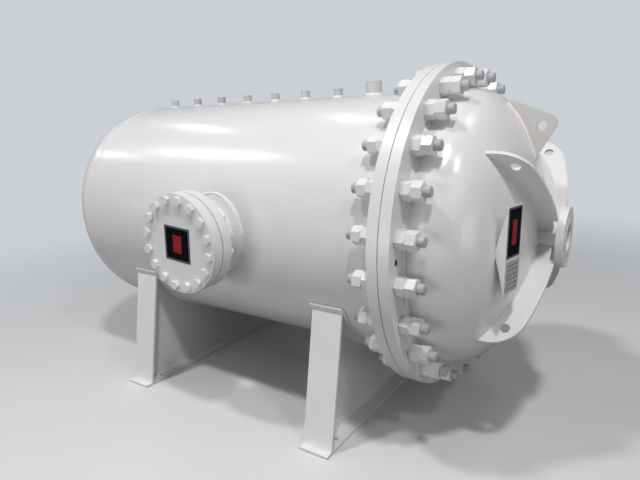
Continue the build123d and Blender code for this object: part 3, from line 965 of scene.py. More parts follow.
@dataclass
class BoltedClosure:
    """Ring flanges, closure head, studs, nuts and jack screws."""

    shop: Workshop
    circle: BoltCircle = BoltCircle((0, 0, 1), (0, -1, 0), 659.486 * MM, 24)
    stud_radius: float = 20.65 * MM
    stud_length: float = 308 * MM
    stud_sides: int = 20
    thread_pitch: float = INCH / 8
    thread_depth: float = 1.3 * MM
    thread_in_nut: float = 2 * MM
    end_chamfer: tuple[float, float] = (2 * MM, 2.5 * MM)
    nut: Hexagon = Hexagon(65.1 * MM, 40.5 * MM)
    flange_edge: float = 1.6 * MM
    weld: Bead = Bead(11 * MM, bulge=0.08, pitch=10 * MM, ripple=0.22)
    weld_points: int = 240

    def build(self) -> None:
        """Build every piece of the closure."""
        shop = self.shop
        shop.repaint("vessel_enamel", "closure_head")
        shop.repaint("gasket_sheet", "main_gasket")
        shop.repaint("oiled_steel", "jack_screws")
        shop.soften_edges("shell_flange", "shell_ring_flange", self.flange_edge)
        shop.soften_edges("head_flange", "head_ring_flange", self.flange_edge)
        away = outward(round_turn(self.weld_points))
        for end in End:
            maker = MeshMaker(f"{end.name.lower()}_flange_weld")
            path = self._seat(end, 0) + VESSEL.radius * away
            self.weld.lay(maker, path, away, (end.value, 0, 0), closed=True)
            shop.weld(maker)
        self._studs()
        self._nuts("head_side_inner_nuts", End.FRONT, place=0, first=8, step=37)
        self._nuts("head_side_outer_nuts", End.FRONT, place=1, first=24, step=23)
        self._nuts("shell_side_inner_nuts", End.REAR, place=0, first=40, step=29)
        self._nuts("shell_side_outer_nuts", End.REAR, place=1, first=12, step=41)

    def _seat(self, end: End, place: int) -> Array:
        """Point of the axis where the inner (0) or outer (1) nuts of an end sit."""
        reach = VESSEL.flange_reach + place * self.nut.height
        return VESSEL.on_axis(VESSEL.closure_x + end.value * reach)

    def _studs(self) -> None:
        """All studs, threaded where they stand out of the nuts."""
        half = self.stud_length / 2
        back, cut = self.end_chamfer
        bare = half - VESSEL.flange_reach - 2 * self.nut.height + self.thread_in_nut
        wall = np.linspace(half - back, half - bare, round(bare / self.thread_pitch * ROWS_PER_PITCH))
        along = np.concatenate([[half, half], wall, -wall[::-1], [-half, -half]])
        angle = round_turn(self.stud_sides)[:, None]
        radius = thread(along[None], angle, self.stud_radius, self.thread_pitch, self.thread_depth)
        radius[:, [0, -1]] = 0.0
        radius[:, [1, -2]] = self.stud_radius - cut
        maker = MeshMaker("closure_studs")
        for spot in self.circle.spots(VESSEL.on_axis(VESSEL.closure_x), (1, 0, 0)):
            maker.grid(spot.place(along[None], radius, angle), Wrap.ROWS)
        self.shop.dress(maker.build(THREAD_SHARP), "stud_enamel", stands_for=("main_studs",))

    def _nuts(self, node: str, end: End, place: int, first: float, step: float) -> None:
        """One nut on every stud, each left at its own wrench angle.

        Args:
            node: The CAD node that the nuts replace.
            end: Side of the closure.
            place: 0 for the nuts against the flange, 1 for those on top of them.
            first: Wrench angle of the first nut, in degrees.
            step: How much further each next nut is turned.
        """
        turns = (first + step * np.arange(self.circle.count)) % HEX_TURN + HEX_TURN / 2
        spots = self.circle.spots(self._seat(end, place), (end.value, 0, 0))
        piece = self.nut.nuts(node.replace("nuts", "hex_nuts"), self.stud_radius, spots,
                              np.radians(turns) * end.value)
        self.shop.dress(piece, "fastener_enamel", stands_for=(node,))


@dataclass
class SideNozzle:
    """Neck, reinforcing pad, flange, blind cover, bolts and label of the side nozzle.

    Each next bolt head and each next nut is turned further by `wrench_steps`, in
    degrees. `rim_from`, `joint_depth` and `joint_ease` say which points of the
    flange and the cover are drawn back from their joint, and how far.
    """

    shop: Workshop
    x: float = -588.1 * MM
    neck_radius: float = 136.525 * MM
    pad_radius: float = 188 * MM
    pad_thickness: float = 12.7 * MM
    pad_weld: Bead = Bead(9 * MM, bulge=0.06, pitch=11 * MM, ripple=0.3)
    neck_weld: Bead = Bead(9 * MM)
    weld_points: int = 180
    flange_back: float = 711 * MM
    cover_face: float = 815.8 * MM
    circle: BoltCircle = BoltCircle((1, 0, 0), (0, 0, 1), 193.7 * MM, 16)
    bolt_radius: float = 12.7 * MM
    bolt_past_nut: float = 6 * MM
    thread_pitch: float = INCH / 8
    thread_depth: float = 1.1 * MM
    thread_length: float = 30 * MM
    thread_rows: int = 42
    tip_chamfer: float = 1.5 * MM
    head: Hexagon = Hexagon(38.1 * MM, 16 * MM)
    nut: Hexagon = Hexagon(38.1 * MM, 22 * MM)
    wrench_steps: tuple[int, int] = (17, 23)
    pad_edge: float = 1.5 * MM
    flange_edge: float = 1.6 * MM
    cover_edge: float = 1.8 * MM
    rim_from: float = 215 * MM
    joint_depth: float = 1 * MM
    joint_ease: float = 1.8 * MM
    label_size: float = 156 * MM
    label_turn: float = math.radians(-4.5)

    def build(self) -> None:
        """Build every piece of the nozzle."""
        shop = self.shop
        shop.repaint("plate_enamel", "side_nozzle_neck")
        shop.repaint("gasket_sheet", "side_gasket")
        shop.soften_edges("side_nozzle_pad", "nozzle_pad", self.pad_edge)
        flange = shop.soften_edges("side_nozzle_flange", "nozzle_flange", self.flange_edge)
        cover = shop.soften_edges("side_blind_cover", "blind_cover", self.cover_edge)
        self._ease_joint(flange, 1)
        self._ease_joint(cover, -1)
        self._bolts()
        self._nuts()
        self._welds()
        along = np.array([math.cos(self.label_turn), 0, math.sin(self.label_turn)])
        upward = np.array([-math.sin(self.label_turn), 0, math.cos(self.label_turn)])
        board = Board(self._middle(self.cover_face), along, upward)
        label = LabelPanel("side_label_panel", self.label_size, self.label_size)
        shop.dress(label.build(board), *LABEL_FINISHES, slot="side_label_face", stands_for=("side_label",))

    def _middle(self, reach: float) -> Array:
        """Point of the nozzle's own axis at a distance from the vessel's axis."""
        return np.array([self.x, -reach, VESSEL.axis_z])

    def _ease_joint(self, piece: bpy.types.Object, side: int) -> None:
        """Draw the rim back where the flange and the cover meet, as their raised faces do.

        Args:
            piece: The flange or the cover.
            side: 1 for the flange, whose rim moves towards the shell, and -1 for the cover.
        """
        points = piece.data.attributes["position"].data
        places = np.zeros(len(points) * 3)
        points.foreach_get("vector", places)
        places = places.reshape(-1, 3)
        rim = np.hypot(places[:, 0] - self.x, places[:, 2] - VESSEL.axis_z) > self.rim_from
        joint = (side * places[:, 1])[rim].min()
        rim &= side * places[:, 1] < joint + self.joint_depth
        places[rim, 1] += side * self.joint_ease
        points.foreach_set("vector", places.ravel())

    def _bolts(self) -> None:
        """Hex bolts: head on the cover, shank through it and a threaded end."""
        heights, radii = self.head.rings(self.bolt_radius)
        angle = self.head.angles()[:, None]
        tail = self.flange_back - self.nut.height - self.bolt_past_nut - self.cover_face
        rows = np.linspace(tail + self.tip_chamfer, tail + self.thread_length, self.thread_rows)
        wall = thread(rows[None], angle, self.bolt_radius, self.thread_pitch, self.thread_depth)
        full = np.ones_like(angle)
        along = np.hstack([tail * full, tail * full, rows[None] * full, heights, self.head.height * full])
        tip = (self.bolt_radius - self.tip_chamfer) * full
        radius = np.hstack([0 * full, tip, wall, radii[:, :5], 0 * full, 0 * full])
        maker = MeshMaker("cover_bolts")
        for k, spot in enumerate(self.circle.spots(self._middle(self.cover_face), (0, -1, 0))):
            wrench = math.radians(self.wrench_steps[0] * k % HEX_TURN)
            maker.grid(spot.place(along, radius, angle + wrench), Wrap.ROWS)
        self.shop.dress(maker.build(HEX_SHARP), "fastener_enamel", stands_for=("side_cover_bolts",))

    def _nuts(self) -> None:
        """Nuts behind the nozzle's flange."""
        spots = self.circle.spots(self._middle(self.flange_back - self.nut.height), (0, -1, 0))
        wrenches = np.radians(self.wrench_steps[1] * np.arange(self.circle.count) % HEX_TURN)
        piece = self.nut.nuts("cover_nuts", self.bolt_radius, spots, wrenches)
        self.shop.dress(piece, "fastener_enamel", stands_for=("side_cover_nuts",))

    def _on_shell(self, radius: float, reach: float) -> tuple[Array, Array, Array]:
        """Circle round the nozzle on a cylinder about the vessel's axis.

        Args:
            radius: Radius of the circle, seen along the nozzle.
            reach: Radius of the cylinder.

        Returns:
            The points, the cylinder's outward normals there, and the directions
            along its surface away from the nozzle.
        """
        t = round_turn(self.weld_points)
        y = -np.sqrt(reach**2 - (radius * np.sin(t)) ** 2)
        points = np.stack([radius * np.cos(t), y, radius * np.sin(t)], axis=1)
        normal = points * (0, 1, 1) / reach
        away = np.stack([np.cos(t), 0 * t, np.sin(t)], axis=1)
        away = unit(away - np.sum(away * normal, axis=1, keepdims=True) * normal)
        return self._middle(0) + points, normal, away

    def _welds(self) -> None:
        """Fillets round the pad, round the neck on the pad and behind the flange."""
        maker = MeshMaker("side_nozzle_welds")
        points, normal, away = self._on_shell(self.pad_radius, VESSEL.radius)
        self.pad_weld.lay(maker, points, normal, away, closed=True)
        points, _, away = self._on_shell(self.neck_radius, VESSEL.radius + self.pad_thickness)
        self.neck_weld.lay(maker, points, (0, -1, 0), away, closed=True)
        t = round_turn(self.weld_points)
        away = np.stack([np.cos(t), 0 * t, np.sin(t)], axis=1)
        path = self._middle(self.flange_back) + self.neck_radius * away
        self.neck_weld.lay(maker, path, (0, 1, 0), away, closed=True)
        self.shop.weld(maker)


@dataclass(frozen=True)
class LabelPanel:
    """Label: a slate border, a sunk black field and a plain raised red block."""

    name: str
    width: float
    height: float
    border: float = 9 * MM
    corner: float = 2.5 * MM
    thickness: float = 1.0 * MM
    sunk: float = 0.35 * MM
    overlap: float = 0.1 * MM
    block_share: tuple[float, float] = (0.34, 0.5)

    def build(self, board: Board) -> bpy.types.Object:
        """Make the label on a board, each zone as a stack of rounded outlines.

        Args:
            board: Where the middle of the label's back is, and how it lies.

        Returns:
            The object, with the materials border, field and block.
        """
        outer = (self.width / 2, self.height / 2)
        inner = (outer[0] - self.border, outer[1] - self.border)
        block = (self.block_share[0] * outer[0], self.block_share[1] * outer[1])
        none, top = (0.0, 0.0), self.thickness
        low = top - self.sunk
        foot = low - self.overlap
        zones = (
            [(outer, 0), (outer, top), (inner, top), (inner, 0)],
            [(none, 0), (inner, 0), (inner, low), (none, low)],
            [(none, foot), (block, foot), (block, top), (none, top)],
        )
        maker = MeshMaker(self.name)
        for slot, zone in enumerate(zones):
            rings = [board.outline(half, height, self.corner) for half, height in zone]
            maker.grid(np.stack(rings, axis=1), Wrap.ROWS if slot else Wrap.BOTH, slot)
        return maker.build()


@dataclass(frozen=True)
class Coupling:
    """A threaded half coupling on the top of the shell."""

    node: str
    x: float
    outside: float
    bore: float
    height: float
    sides: int = 48
    thread_pitch: float = INCH / 11.5
    thread_depth: float = 1.1 * MM
    thread_clearance: float = 0.7 * MM
    rim: tuple[tuple[float, float], ...] = ((2.2 * MM, 0), (0.6 * MM, 1.2 * MM), (0, 2.4 * MM))
    mouth: float = 1.2 * MM
    thread_start: float = 1.5 * MM
    weld: Bead = Bead(7 * MM, pitch=6 * MM)

    def _foot(self, radius: float, angle: Array) -> Array:
        """Height of the shell over the vessel's axis, under a circle about the coupling's own.

        At a distance y from the middle plane it is sqrt(R^2 - y^2).
        """
        return np.sqrt(VESSEL.radius**2 - (radius * np.sin(angle)) ** 2)

    def build(self) -> bpy.types.Object:
        """Build the coupling, cut to the shell, and its fillet as a second material.

        Every column is a circle about the coupling's axis: the feet of bore and
        wall, the rounded rim, the mouth and the rows of the thread.

        Returns:
            The new piece.
        """
        circle = round_turn(self.sides)
        angle = circle[:, None]
        full = np.ones_like(angle)
        top = VESSEL.radius + self.height
        count = round(self.height / self.thread_pitch * ROWS_PER_PITCH)
        rows = np.linspace(top - self.thread_start, VESSEL.radius, count)
        wall = thread(rows[None], angle, self.bore + self.thread_clearance, self.thread_pitch,
                      self.thread_depth)
        along = np.hstack([
            self._foot(self.bore, angle), self._foot(self.outside, angle),
            *((top - drop) * full for drop, _ in self.rim), top * full, rows[None] * full,
        ])
        radius = np.hstack([
            self.bore * full, self.outside * full, *((self.outside - cut) * full for _, cut in self.rim),
            (self.bore + self.mouth) * full, wall,
        ])
        basis = Basis(VESSEL.on_axis(self.x), (0, 0, 1), (1, 0, 0))
        maker = MeshMaker(self.node + "_fitting").grid(basis.place(along, radius, angle))
        foot = self._foot(self.outside, circle)
        path = basis.place(foot, np.full_like(circle, self.outside), circle)
        slope = -self.outside * np.sin(circle) ** 2 / foot
        away = unit(np.stack([np.cos(circle), np.sin(circle), slope], axis=1))
        self.weld.lay(maker, path, (0, 0, 1), away, closed=True, slot=1)
        return maker.build()


@dataclass
class TopCouplings:
    """The row of equal couplings along the top, and the larger one at its end."""

    shop: Workshop
    count: int = 7
    first_x: float = -1452.6 * MM
    pitch: float = 200 * MM
    small: Triple = (22.25 * MM, 14.5 * MM, 41 * MM)
    large: Triple = (38.1 * MM, 27.5 * MM, 63 * MM)

    def build(self) -> None:
        """Build all couplings."""
        row = [(f"coupling_{k + 1}", self.small) for k in range(self.count)]
        for k, (node, sizes) in enumerate([*row, ("large_coupling", self.large)]):
            piece = Coupling(node, self.first_x + k * self.pitch, *sizes).build()
            self.shop.dress(piece, "coupling_enamel_painted_streaks", "weld_enamel", stands_for=(node,))


@dataclass
class HeadFittings:
    """End nozzle, gussets, lifting lug and nameplate bracket on the closure head."""

    shop: Workshop
    plate: float = 12.7 * MM
    plate_edge: float = 1.2 * MM
    bracket_edge: float = 1.0 * MM
    neck_radius: float = 57.15 * MM
    neck_start: float = 738.8 * MM
    flange_back: float = 816 * MM
    cope_x: float = 796 * MM
    cope_rho: tuple[float, float] = (122 * MM, 126 * MM)
    gusset_root: tuple[float, float] = (65 * MM, 520 * MM)
    lug_root: tuple[float, float] = (312 * MM, 546 * MM)
    gusset_angles: tuple[tuple[str, float], ...] = (
        ("near_upper", 45.0), ("near_lower", 135.0), ("far_upper", -45.0), ("far_lower", -135.0),
    )
    dome_weld: Bead = Bead(5 * MM, bulge=0.08, ripple=0.2)
    cope_welds: tuple[Bead, Bead] = (Bead(5 * MM), Bead(4 * MM))
    neck_weld: Bead = Bead(7 * MM)
    dome_points: int = 80
    cope_points: tuple[int, int] = (12, 8)
    neck_points: int = 90

    def build(self) -> None:
        """Build every fitting of the head."""
        shop = self.shop
        shop.repaint("plate_enamel", "end_nozzle_neck")
        shop.soften_edges("end_nozzle_flange", "end_flange", self.plate_edge)
        for place, _ in self.gusset_angles:
            shop.soften_edges(f"gusset_{place}", f"gusset_plate_{place}", self.plate_edge)
        shop.soften_edges("top_lifting_lug", "lifting_lug", self.plate_edge, "lug_dull_enamel_painted_shade")
        shop.soften_edges("nameplate_bracket", "plate_bracket", self.bracket_edge)
        self._plate_welds()
        self._neck_welds()

    def _plate_welds(self) -> None:
        """Fillets on both sides of each gusset and of the lug."""
        maker = MeshMaker("head_plate_welds")
        turns = [math.radians(degrees) for _, degrees in self.gusset_angles]
        for angle, root in [*((turn, self.gusset_root) for turn in turns), (0.0, self.lug_root)]:
            for side in BOTH_SIDES:
                self._dome_bead(maker, np.linspace(*root, self.dome_points), angle, side)
        for angle in turns:
            self._cope_beads(maker, angle)
        self.shop.weld(maker)

    def _dome_bead(self, maker: MeshMaker, rho: Array, angle: float, side: int) -> None:
        """Fillet between the dome and one face of a radial plate.

        The dome's normal is (x / d^2, rho / R^2) for depth d and radius R.

        Args:
            maker: Takes the weld.
            rho: Distances from the axis, from one end of the weld to the other.
            angle: Angle of the plate round the vessel.
            side: Which face of the plate, -1 or 1.
        """
        radial, across = outward(angle), side * outward(angle + np.pi / 2)
        x = VESSEL.dome_x(np.hypot(rho, self.plate / 2))
        path = VESSEL.on_axis(0) + rho[:, None] * radial + self.plate / 2 * across
        path[:, 0] += x
        normal = (rho / VESSEL.radius**2)[:, None] * radial
        normal[:, 0] = (x - VESSEL.front_tangent_x) / VESSEL.head_depth**2
        self.dome_weld.lay(maker, path, unit(normal), across)

    def _cope_beads(self, maker: MeshMaker, angle: float) -> None:
        """Fillets between a gusset and the neck, and the flange's back.

        Args:
            maker: Takes the welds.
            angle: Angle of the gusset round the vessel.
        """
        radial = outward(angle)
        x = np.linspace(self.neck_start, self.cope_x, self.cope_points[0])[:, None]
        rho = np.linspace(*self.cope_rho, self.cope_points[1])[:, None]
        for side in BOTH_SIDES:
            across = side * outward(angle + np.pi / 2)
            offset = self.plate / 2 * across
            path = VESSEL.on_axis(0) + x * (1, 0, 0) + self.neck_radius * radial + offset
            self.cope_welds[0].lay(maker, path, radial, across)
            path = VESSEL.on_axis(self.flange_back) + rho * radial + offset
            self.cope_welds[1].lay(maker, path, (-1, 0, 0), across)

    def _neck_welds(self) -> None:
        """Fillets round the neck at the dome and at the flange's back."""
        maker = MeshMaker("end_nozzle_welds")
        away = outward(round_turn(self.neck_points))
        for x, way in ((VESSEL.dome_x(self.neck_radius), 1), (self.flange_back, -1)):
            path = VESSEL.on_axis(x) + self.neck_radius * away
            self.neck_weld.lay(maker, path, (way, 0, 0), away, closed=True)
        self.shop.weld(maker)


@dataclass
class NameplateFaces:
    """The label and the data plate on the bracket, each given as width, height and rise."""

    shop: Workshop
    centre: Triple = (712.3 * MM, -364 * MM, 932.4 * MM)
    turn: float = math.radians(12)
    label: Triple = (104 * MM, 188 * MM, 65.7 * MM)
    label_border: float = 7 * MM
    plate: Triple = (106 * MM, 120 * MM, -100.7 * MM)
    thickness: float = 1.0 * MM
    corner: float = 1.2 * MM
    field_rise: float = 0.15 * MM
    field_sunk: float = 0.1 * MM
    field_height: float = 0.075
    field_rows: tuple[float, float, int] = (0.36, -0.38, 6)
    wide_field: float = 0.80
    half_field: float = 0.38
    half_field_places: tuple[float, float] = (-0.21, 0.21)
    rivet_places: tuple[float, float] = (-0.46, 0.46)
    rivet_radius: float = 2.2 * MM
    rivet_height: float = 1.2 * MM
    rivet_rings: int = 5
    rivet_sides: int = 16

    def build(self) -> None:
        """Build the label and the data plate."""
        width, height, _ = self.label
        panel = LabelPanel("bracket_label_panel", width, height, self.label_border)
        self.shop.dress(panel.build(self._board(self.label)), *LABEL_FINISHES,
                        slot="panel_label_face", stands_for=("panel_label",))
        maker = MeshMaker("blank_data_plate")
        board = self._board(self.plate)
        self._fields(maker, board)
        self._rivets(maker, board)
        self.shop.dress(maker.build(), "etched_plate", "etched_fields",
                        slot="data_plate_metal", stands_for=("data_plate",))

    def _board(self, panel: Triple) -> Board:
        """Place of a panel on the bracket.

        Args:
            panel: Its width, its height and how far it is raised from the middle.

        Returns:
            The board, whose centre is the panel's.
        """
        upward = np.array([0, 0, 1.0])
        along = np.array([math.sin(self.turn), math.cos(self.turn), 0])
        return Board(np.array(self.centre) + panel[2] * upward, along, upward)

    def _fields(self, maker: MeshMaker, board: Board) -> None:
        """The plate with its empty fields: wide ones at top and bottom, pairs between.

        Args:
            maker: Takes the plate and its fields.
            board: Where the plate lies.
        """
        width, height, _ = self.plate
        top, foot = self.thickness + self.field_rise, self.thickness - self.field_sunk
        self._box(maker, board, (0, 0), (width, height), (0, self.thickness), 0)
        rows = np.linspace(*self.field_rows)
        for row in rows:
            wide = row in (rows[0], rows[-1])
            share = self.wide_field if wide else self.half_field
            for place in (0.0,) if wide else self.half_field_places:
                size = (share * width, self.field_height * height)
                self._box(maker, board, (place * width, row * height), size, (foot, top), 1)

    def _box(self, maker: MeshMaker, board: Board, middle: tuple[float, float],
             size: tuple[float, float], heights: tuple[float, float], slot: int) -> None:
        """Add a box with rounded corners.

        Args:
            maker: Takes the box.
            board: What the box stands on.
            middle: Place of its middle on the board.
            size: Its width and its height on the board.
            heights: Where it starts and ends over the board.
            slot: Index of its material.
        """
        half = (size[0] / 2, size[1] / 2)
        low, top = heights
        zone = (((0, 0), low), (half, low), (half, top), ((0, 0), top))
        rings = [board.outline(reach, level, self.corner, middle) for reach, level in zone]
        maker.grid(np.stack(rings, axis=1), Wrap.ROWS, slot)

    def _rivets(self, maker: MeshMaker, board: Board) -> None:
        """A rivet at each corner: a dome whose height is a cosine of its radius.

        Args:
            maker: Takes the rivets.
            board: Where the plate lies.
        """
        width, height, _ = self.plate
        share = np.linspace(1, 0, self.rivet_rings)[None]
        low = np.full((1, 1), self.thickness / 2)
        lift = self.thickness + self.rivet_height * np.cos(share * np.pi / 2)
        heights = np.hstack([low, low, lift])
        radii = self.rivet_radius * np.hstack([[[0.0]], [[1.0]], share])
        angle = round_turn(self.rivet_sides)[:, None]
        for u in self.rivet_places:
            for v in self.rivet_places:
                spot = board.centre + u * width * board.along + v * height * board.upward
                basis = Basis(spot, board.facing(), board.along)
                maker.grid(basis.place(heights, radii, angle), Wrap.ROWS)


@dataclass
class Saddle:
    """One saddle: wear plate, web, two leaning legs and a base plate, welded up.

    The fields that end in `points` are the numbers of points along its welds.
    """

    shop: Workshop
    name: str
    x: float
    width: float = 152.4 * MM
    plate: float = 12.7 * MM
    wear: float = 9.5 * MM
    wear_margin: float = 8 * MM
    half_angle: float = math.radians(64)
    web_stop: float = 0.06
    leg_stop: float = 30 * MM
    foot_reach: float = 661.4 * MM
    lean: float = math.radians(10.75)
    edge: float = 1.4 * MM
    plate_weld: Bead = Bead(6 * MM)
    wear_weld: Bead = Bead(8 * MM)
    wear_end_weld: Bead = Bead(5 * MM)
    cradle_points: int = 120
    foot_points: int = 60
    slope_points: int = 40
    edge_points: int = 30
    wear_points: int = 160

    def build(self) -> None:
        """Build the saddle's plates and welds."""
        for part in ("wear_plate", "saddle_web", "near_leg", "far_leg", "base_plate"):
            node = f"{self.name}_{part}"
            self.shop.soften_edges(node, f"{node}_steel", self.edge, "saddle_enamel_painted_light")
        maker = MeshMaker(f"{self.name}_saddle_welds")
        self._web_welds(maker)
        self._leg_welds(maker)
        self._wear_welds(maker)
        self.shop.weld(maker)

    def _leg(self, z: float, face: str = "inner") -> float:
        """Distance of a leg's inner or outer face from the middle plane at a height."""
        outer = self.foot_reach - (z - self.plate) * math.tan(self.lean)
        return outer if face == "outer" else outer - self.plate / math.cos(self.lean)

    def _web_welds(self, maker: MeshMaker) -> None:
        """Fillets of the web on the base, on the wear plate and on both legs.

        Args:
            maker: Takes the welds.
        """
        wear_radius = VESSEL.radius + self.wear
        wear_end = VESSEL.axis_z - wear_radius * math.cos(self.half_angle)
        foot, top = self._leg(self.plate), self._leg(wear_end)
        span = self.half_angle - self.web_stop
        radial = outward(np.linspace(-1, 1, self.cradle_points) * span + np.pi)
        y = np.linspace(-foot, foot, self.foot_points)
        t = np.linspace(0, 1, self.slope_points)[:, None]
        for side in BOTH_SIDES:
            x = self.x + side * self.plate / 2
            away = (side, 0, 0)
            path = np.stack([x + 0 * y, y, self.plate + 0 * y], axis=1)
            self.plate_weld.lay(maker, path, (0, 0, 1), away)
            path = VESSEL.on_axis(x) + wear_radius * radial
            self.plate_weld.lay(maker, path, radial, away)
            for hand in BOTH_SIDES:
                low = np.array([x, hand * foot, self.plate])
                high = np.array([x, hand * top, wear_end - self.leg_stop])
                inward = (0, -hand * math.cos(self.lean), -math.sin(self.lean))
                self.plate_weld.lay(maker, low + t * (high - low), inward, away)

    def _leg_welds(self, maker: MeshMaker) -> None:
        """Fillets of both faces of both legs on the base plate.

        Args:
            maker: Takes the welds.
        """
        x = np.linspace(-1, 1, self.edge_points) * self.width / 2 + self.x
        for hand in BOTH_SIDES:
            up_leg = (0, -hand * math.sin(self.lean), math.cos(self.lean))
            for face, out in (("outer", hand), ("inner", -hand)):
                y = hand * self._leg(self.plate, face)
                path = np.stack([x, y + 0 * x, self.plate + 0 * x], axis=1)
                self.plate_weld.lay(maker, path, up_leg, (0, out, 0))

    def _wear_welds(self, maker: MeshMaker) -> None:
        """Fillets round the wear plate on the shell.

        Args:
            maker: Takes the welds.
        """
        turn = np.linspace(-1, 1, self.wear_points) * self.half_angle + np.pi
        radial = outward(turn)
        half = self.width / 2 + self.wear_margin
        for side in BOTH_SIDES:
            path = VESSEL.on_axis(self.x + side * half) + VESSEL.radius * radial
            self.wear_weld.lay(maker, path, radial, (side, 0, 0))
        along = np.linspace(-half, half, self.edge_points)[:, None]
        start = VESSEL.on_axis(self.x) + along * (1, 0, 0)
        for k, sign in ((0, -1), (-1, 1)):
            path = start + VESSEL.radius * radial[k]
            tangent = sign * outward(turn[k] + np.pi / 2)
            self.wear_end_weld.lay(maker, path, radial[k], tangent)


@dataclass(frozen=True)
class Lamp:
    """A soft rectangular lamp that faces a target, turned about its own axis in degrees."""

    name: str
    place: Triple
    size: tuple[float, float]
    watts: float
    turn: float = 0.0
    target: Triple = (-0.3, 0, 0.9)

    def hang(self) -> None:
        """Put the lamp in the scene."""
        data = bpy.data.lights.new(self.name, "AREA")
        data.shape = "RECTANGLE"
        data.size, data.size_y = self.size
        data.energy = self.watts
        lamp = bpy.data.objects.new(self.name, data)
        aim = (Vector(self.target) - Vector(self.place)).to_track_quat("-Z", "Y")
        spin = Matrix.Rotation(math.radians(self.turn), 4, "Z")
        lamp.matrix_world = Matrix.Translation(self.place) @ aim.to_matrix().to_4x4() @ spin
        bpy.context.scene.collection.objects.link(lamp)


# Small lamps overhead for crisp shadows, strips for the long highlights, and low fills
LAMPS = (
    Lamp("key", (1.75, -2.6, 7.0), (0.5, 0.5), 184),
    Lamp("second_key", (-1.8, -2.65, 7.0), (0.5, 0.5), 136),
    Lamp("end_key", (5.2, -2.6, 7.0), (0.5, 0.5), 66),
    Lamp("far_key", (2.3, 1.4, 6.0), (1.1, 1.1), 15),
    Lamp("low_key", (-5.5, -5.0, 1.5), (0.6, 0.6), 12),
    Lamp("rear_strip", (-5.7, -2.4, 6.0), (2.0, 0.6), 40, 50, (-0.9, 0, 1.0)),
    Lamp("end_strip", (-9.2, -2.6, 6.0), (0.8, 0.5), 14, 0, (-1.4, 0, 1.0)),
    Lamp("far_strip", (-5.9, 0.75, 6.0), (1.0, 0.4), 8, 56, (-0.9, 0, 1.0)),
    Lamp("mid_strip", (-2.8, 1.4, 6.0), (1.0, 0.45), 7, 60, (-0.1, 0, 1.0)),
    Lamp("near_low", (-1.5, -6.3, 1.0), (2.0, 2.0), 56, 0, (0.1, 0, 0.7)),
    Lamp("right_low", (6.0, -1.2, 0.9), (2.0, 2.0), 25, 0, (0.3, 0, 0.8)),
    Lamp("right_fill", (4.8, -2.6, 3.6), (2.5, 2.5), 18, 0, (0.3, 0, 0.9)),
)


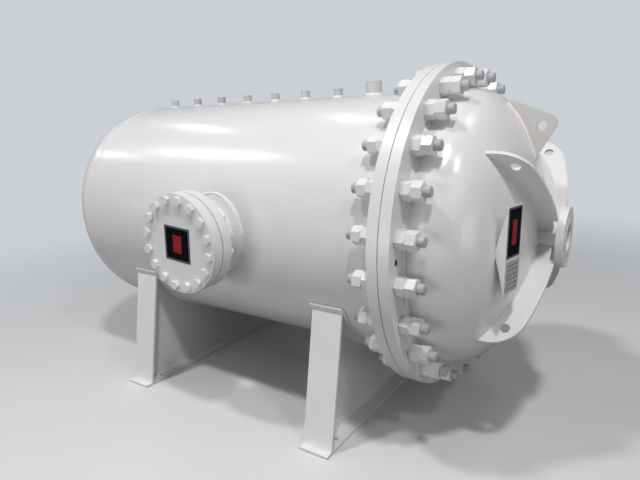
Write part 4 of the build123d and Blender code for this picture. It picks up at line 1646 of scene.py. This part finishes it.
@dataclass
class Studio:
    """Floor, lamps, world and the camera at the photograph's angle.

    The camera's focal length and the shift of its centre are shares of the
    picture's width.
    """

    azimuth: float = math.radians(33.41)
    elevation: float = math.radians(15.30)
    roll: float = math.radians(-1.91)
    position: Triple = (1.11585, -2.19975, 1.40742)
    sensor: float = 36.0
    focal_share: float = 495 / 640
    centre_shift: tuple[float, float] = (9.89 / 640, 17.02 / 640)
    floor_half: float = 40.0
    floor_tone: Triple = (0.80, 0.805, 0.81)
    floor_bounce: Triple = (0.28, 0.275, 0.27)
    floor_roughness: float = 0.55
    floor_specular: float = 0.25
    backdrop: Triple = (0.60, 0.63, 0.67)
    fade_from: float = 1.6
    fade_to: float = 6.0
    sky: float = 0.10
    mirrored: float = 0.45

    def build(self) -> None:
        """Set up the whole studio."""
        scene = bpy.context.scene
        scene.view_settings.view_transform = "Standard"
        self._camera(scene)
        self._floor()
        self._world(scene)
        for lamp in LAMPS:
            lamp.hang()

    def _camera(self, scene: bpy.types.Scene) -> None:
        """Camera solved from the photograph.

        Args:
            scene: Takes the camera.
        """
        data = bpy.data.cameras.new("camera")
        data.sensor_fit = "HORIZONTAL"
        data.sensor_width = self.sensor
        data.lens = self.sensor * self.focal_share
        data.shift_x = -self.centre_shift[0]
        data.shift_y = self.centre_shift[1]
        data.clip_end = 100.0
        camera = bpy.data.objects.new("camera", data)
        back = Vector((
            math.sin(self.azimuth) * math.cos(self.elevation),
            -math.cos(self.azimuth) * math.cos(self.elevation),
            math.sin(self.elevation),
        ))
        right = (-back).cross(Vector((0, 0, 1))).normalized()
        up = right.cross(-back)
        rolled_right = math.cos(self.roll) * right + math.sin(self.roll) * up
        rolled_up = -math.sin(self.roll) * right + math.cos(self.roll) * up
        turn = Matrix((rolled_right, rolled_up, back)).transposed().to_4x4()
        camera.matrix_world = Matrix.Translation(self.position) @ turn
        scene.collection.objects.link(camera)
        scene.camera = camera

    def _seen(self, kit: NodeTree) -> Socket:
        """One where the camera looks, less for a reflection, and zero for other light.

        Args:
            kit: The tree that asks.

        Returns:
            The value.
        """
        path = kit.add("LightPath")
        glossy, direct = Socket(path, "Is Glossy Ray"), Socket(path, "Is Camera Ray")
        return kit.math("MULTIPLY_ADD", glossy, self.mirrored, direct, clamp=True)

    def _floor(self) -> None:
        """A wide pale floor that fades into the backdrop with its distance."""
        line = np.linspace(-self.floor_half, self.floor_half, 2)
        grid = np.stack([*np.meshgrid(line, line, indexing="xy"), np.zeros((2, 2))], axis=-1)
        floor = MeshMaker("studio_floor").grid(grid, Wrap.NONE).build()
        material, kit, shader = new_material("studio_floor")
        seen = self._seen(kit)
        kit.fill(shader, {
            "Base Color": kit.mix(seen, self.floor_bounce, self.floor_tone),
            "Roughness": self.floor_roughness,
            "Specular IOR Level": self.floor_specular,
        })
        reach = kit.add("VectorMath", operation="LENGTH", vector=kit.place())
        far = kit.ramp(Socket(reach, "Value"), self.fade_from, self.fade_to)
        glow = kit.fill(kit.add("Emission"), {"Color": self.backdrop})
        blend = kit.fill(kit.add("MixShader"), {
            0: kit.math("MULTIPLY", far, seen), 1: Socket(shader, "BSDF"), 2: Socket(glow, "Emission"),
        })
        kit.fill(kit.found("OUTPUT_MATERIAL"), {"Surface": Socket(blend, "Shader")})
        floor.data.materials.append(material)

    def _world(self, scene: bpy.types.Scene) -> None:
        """Soft sky: dim for the light, pale where the camera or a reflection sees it.

        Args:
            scene: Takes the world.
        """
        world = bpy.data.worlds.new("studio")
        world.use_nodes = True
        scene.world = world
        kit = NodeTree(world.node_tree)
        kit.fill(kit.found("BACKGROUND"), {
            "Color": self.backdrop, "Strength": kit.spread(self._seen(kit), self.sky, 1.0),
        })


def main() -> None:
    """Load the frame, build the studio and dress every sub-assembly."""
    logging.basicConfig(level=logging.INFO, format="%(message)s")
    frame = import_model()
    effects = Effects()
    shop = Workshop(frame["nodes"], {finish.name: finish.make(effects) for finish in FINISHES})
    Studio().build()
    assemblies = (
        VesselBody(shop),
        BoltedClosure(shop),
        SideNozzle(shop),
        TopCouplings(shop),
        HeadFittings(shop),
        NameplateFaces(shop),
        Saddle(shop, "front", 0.0),
        Saddle(shop, "rear", -1206.2 * MM),
    )
    for assembly in assemblies:
        assembly.build()
        LOG.info("built %s", type(assembly).__name__)
    bpy.context.view_layer.update()


if __name__ == "__main__":
    main()
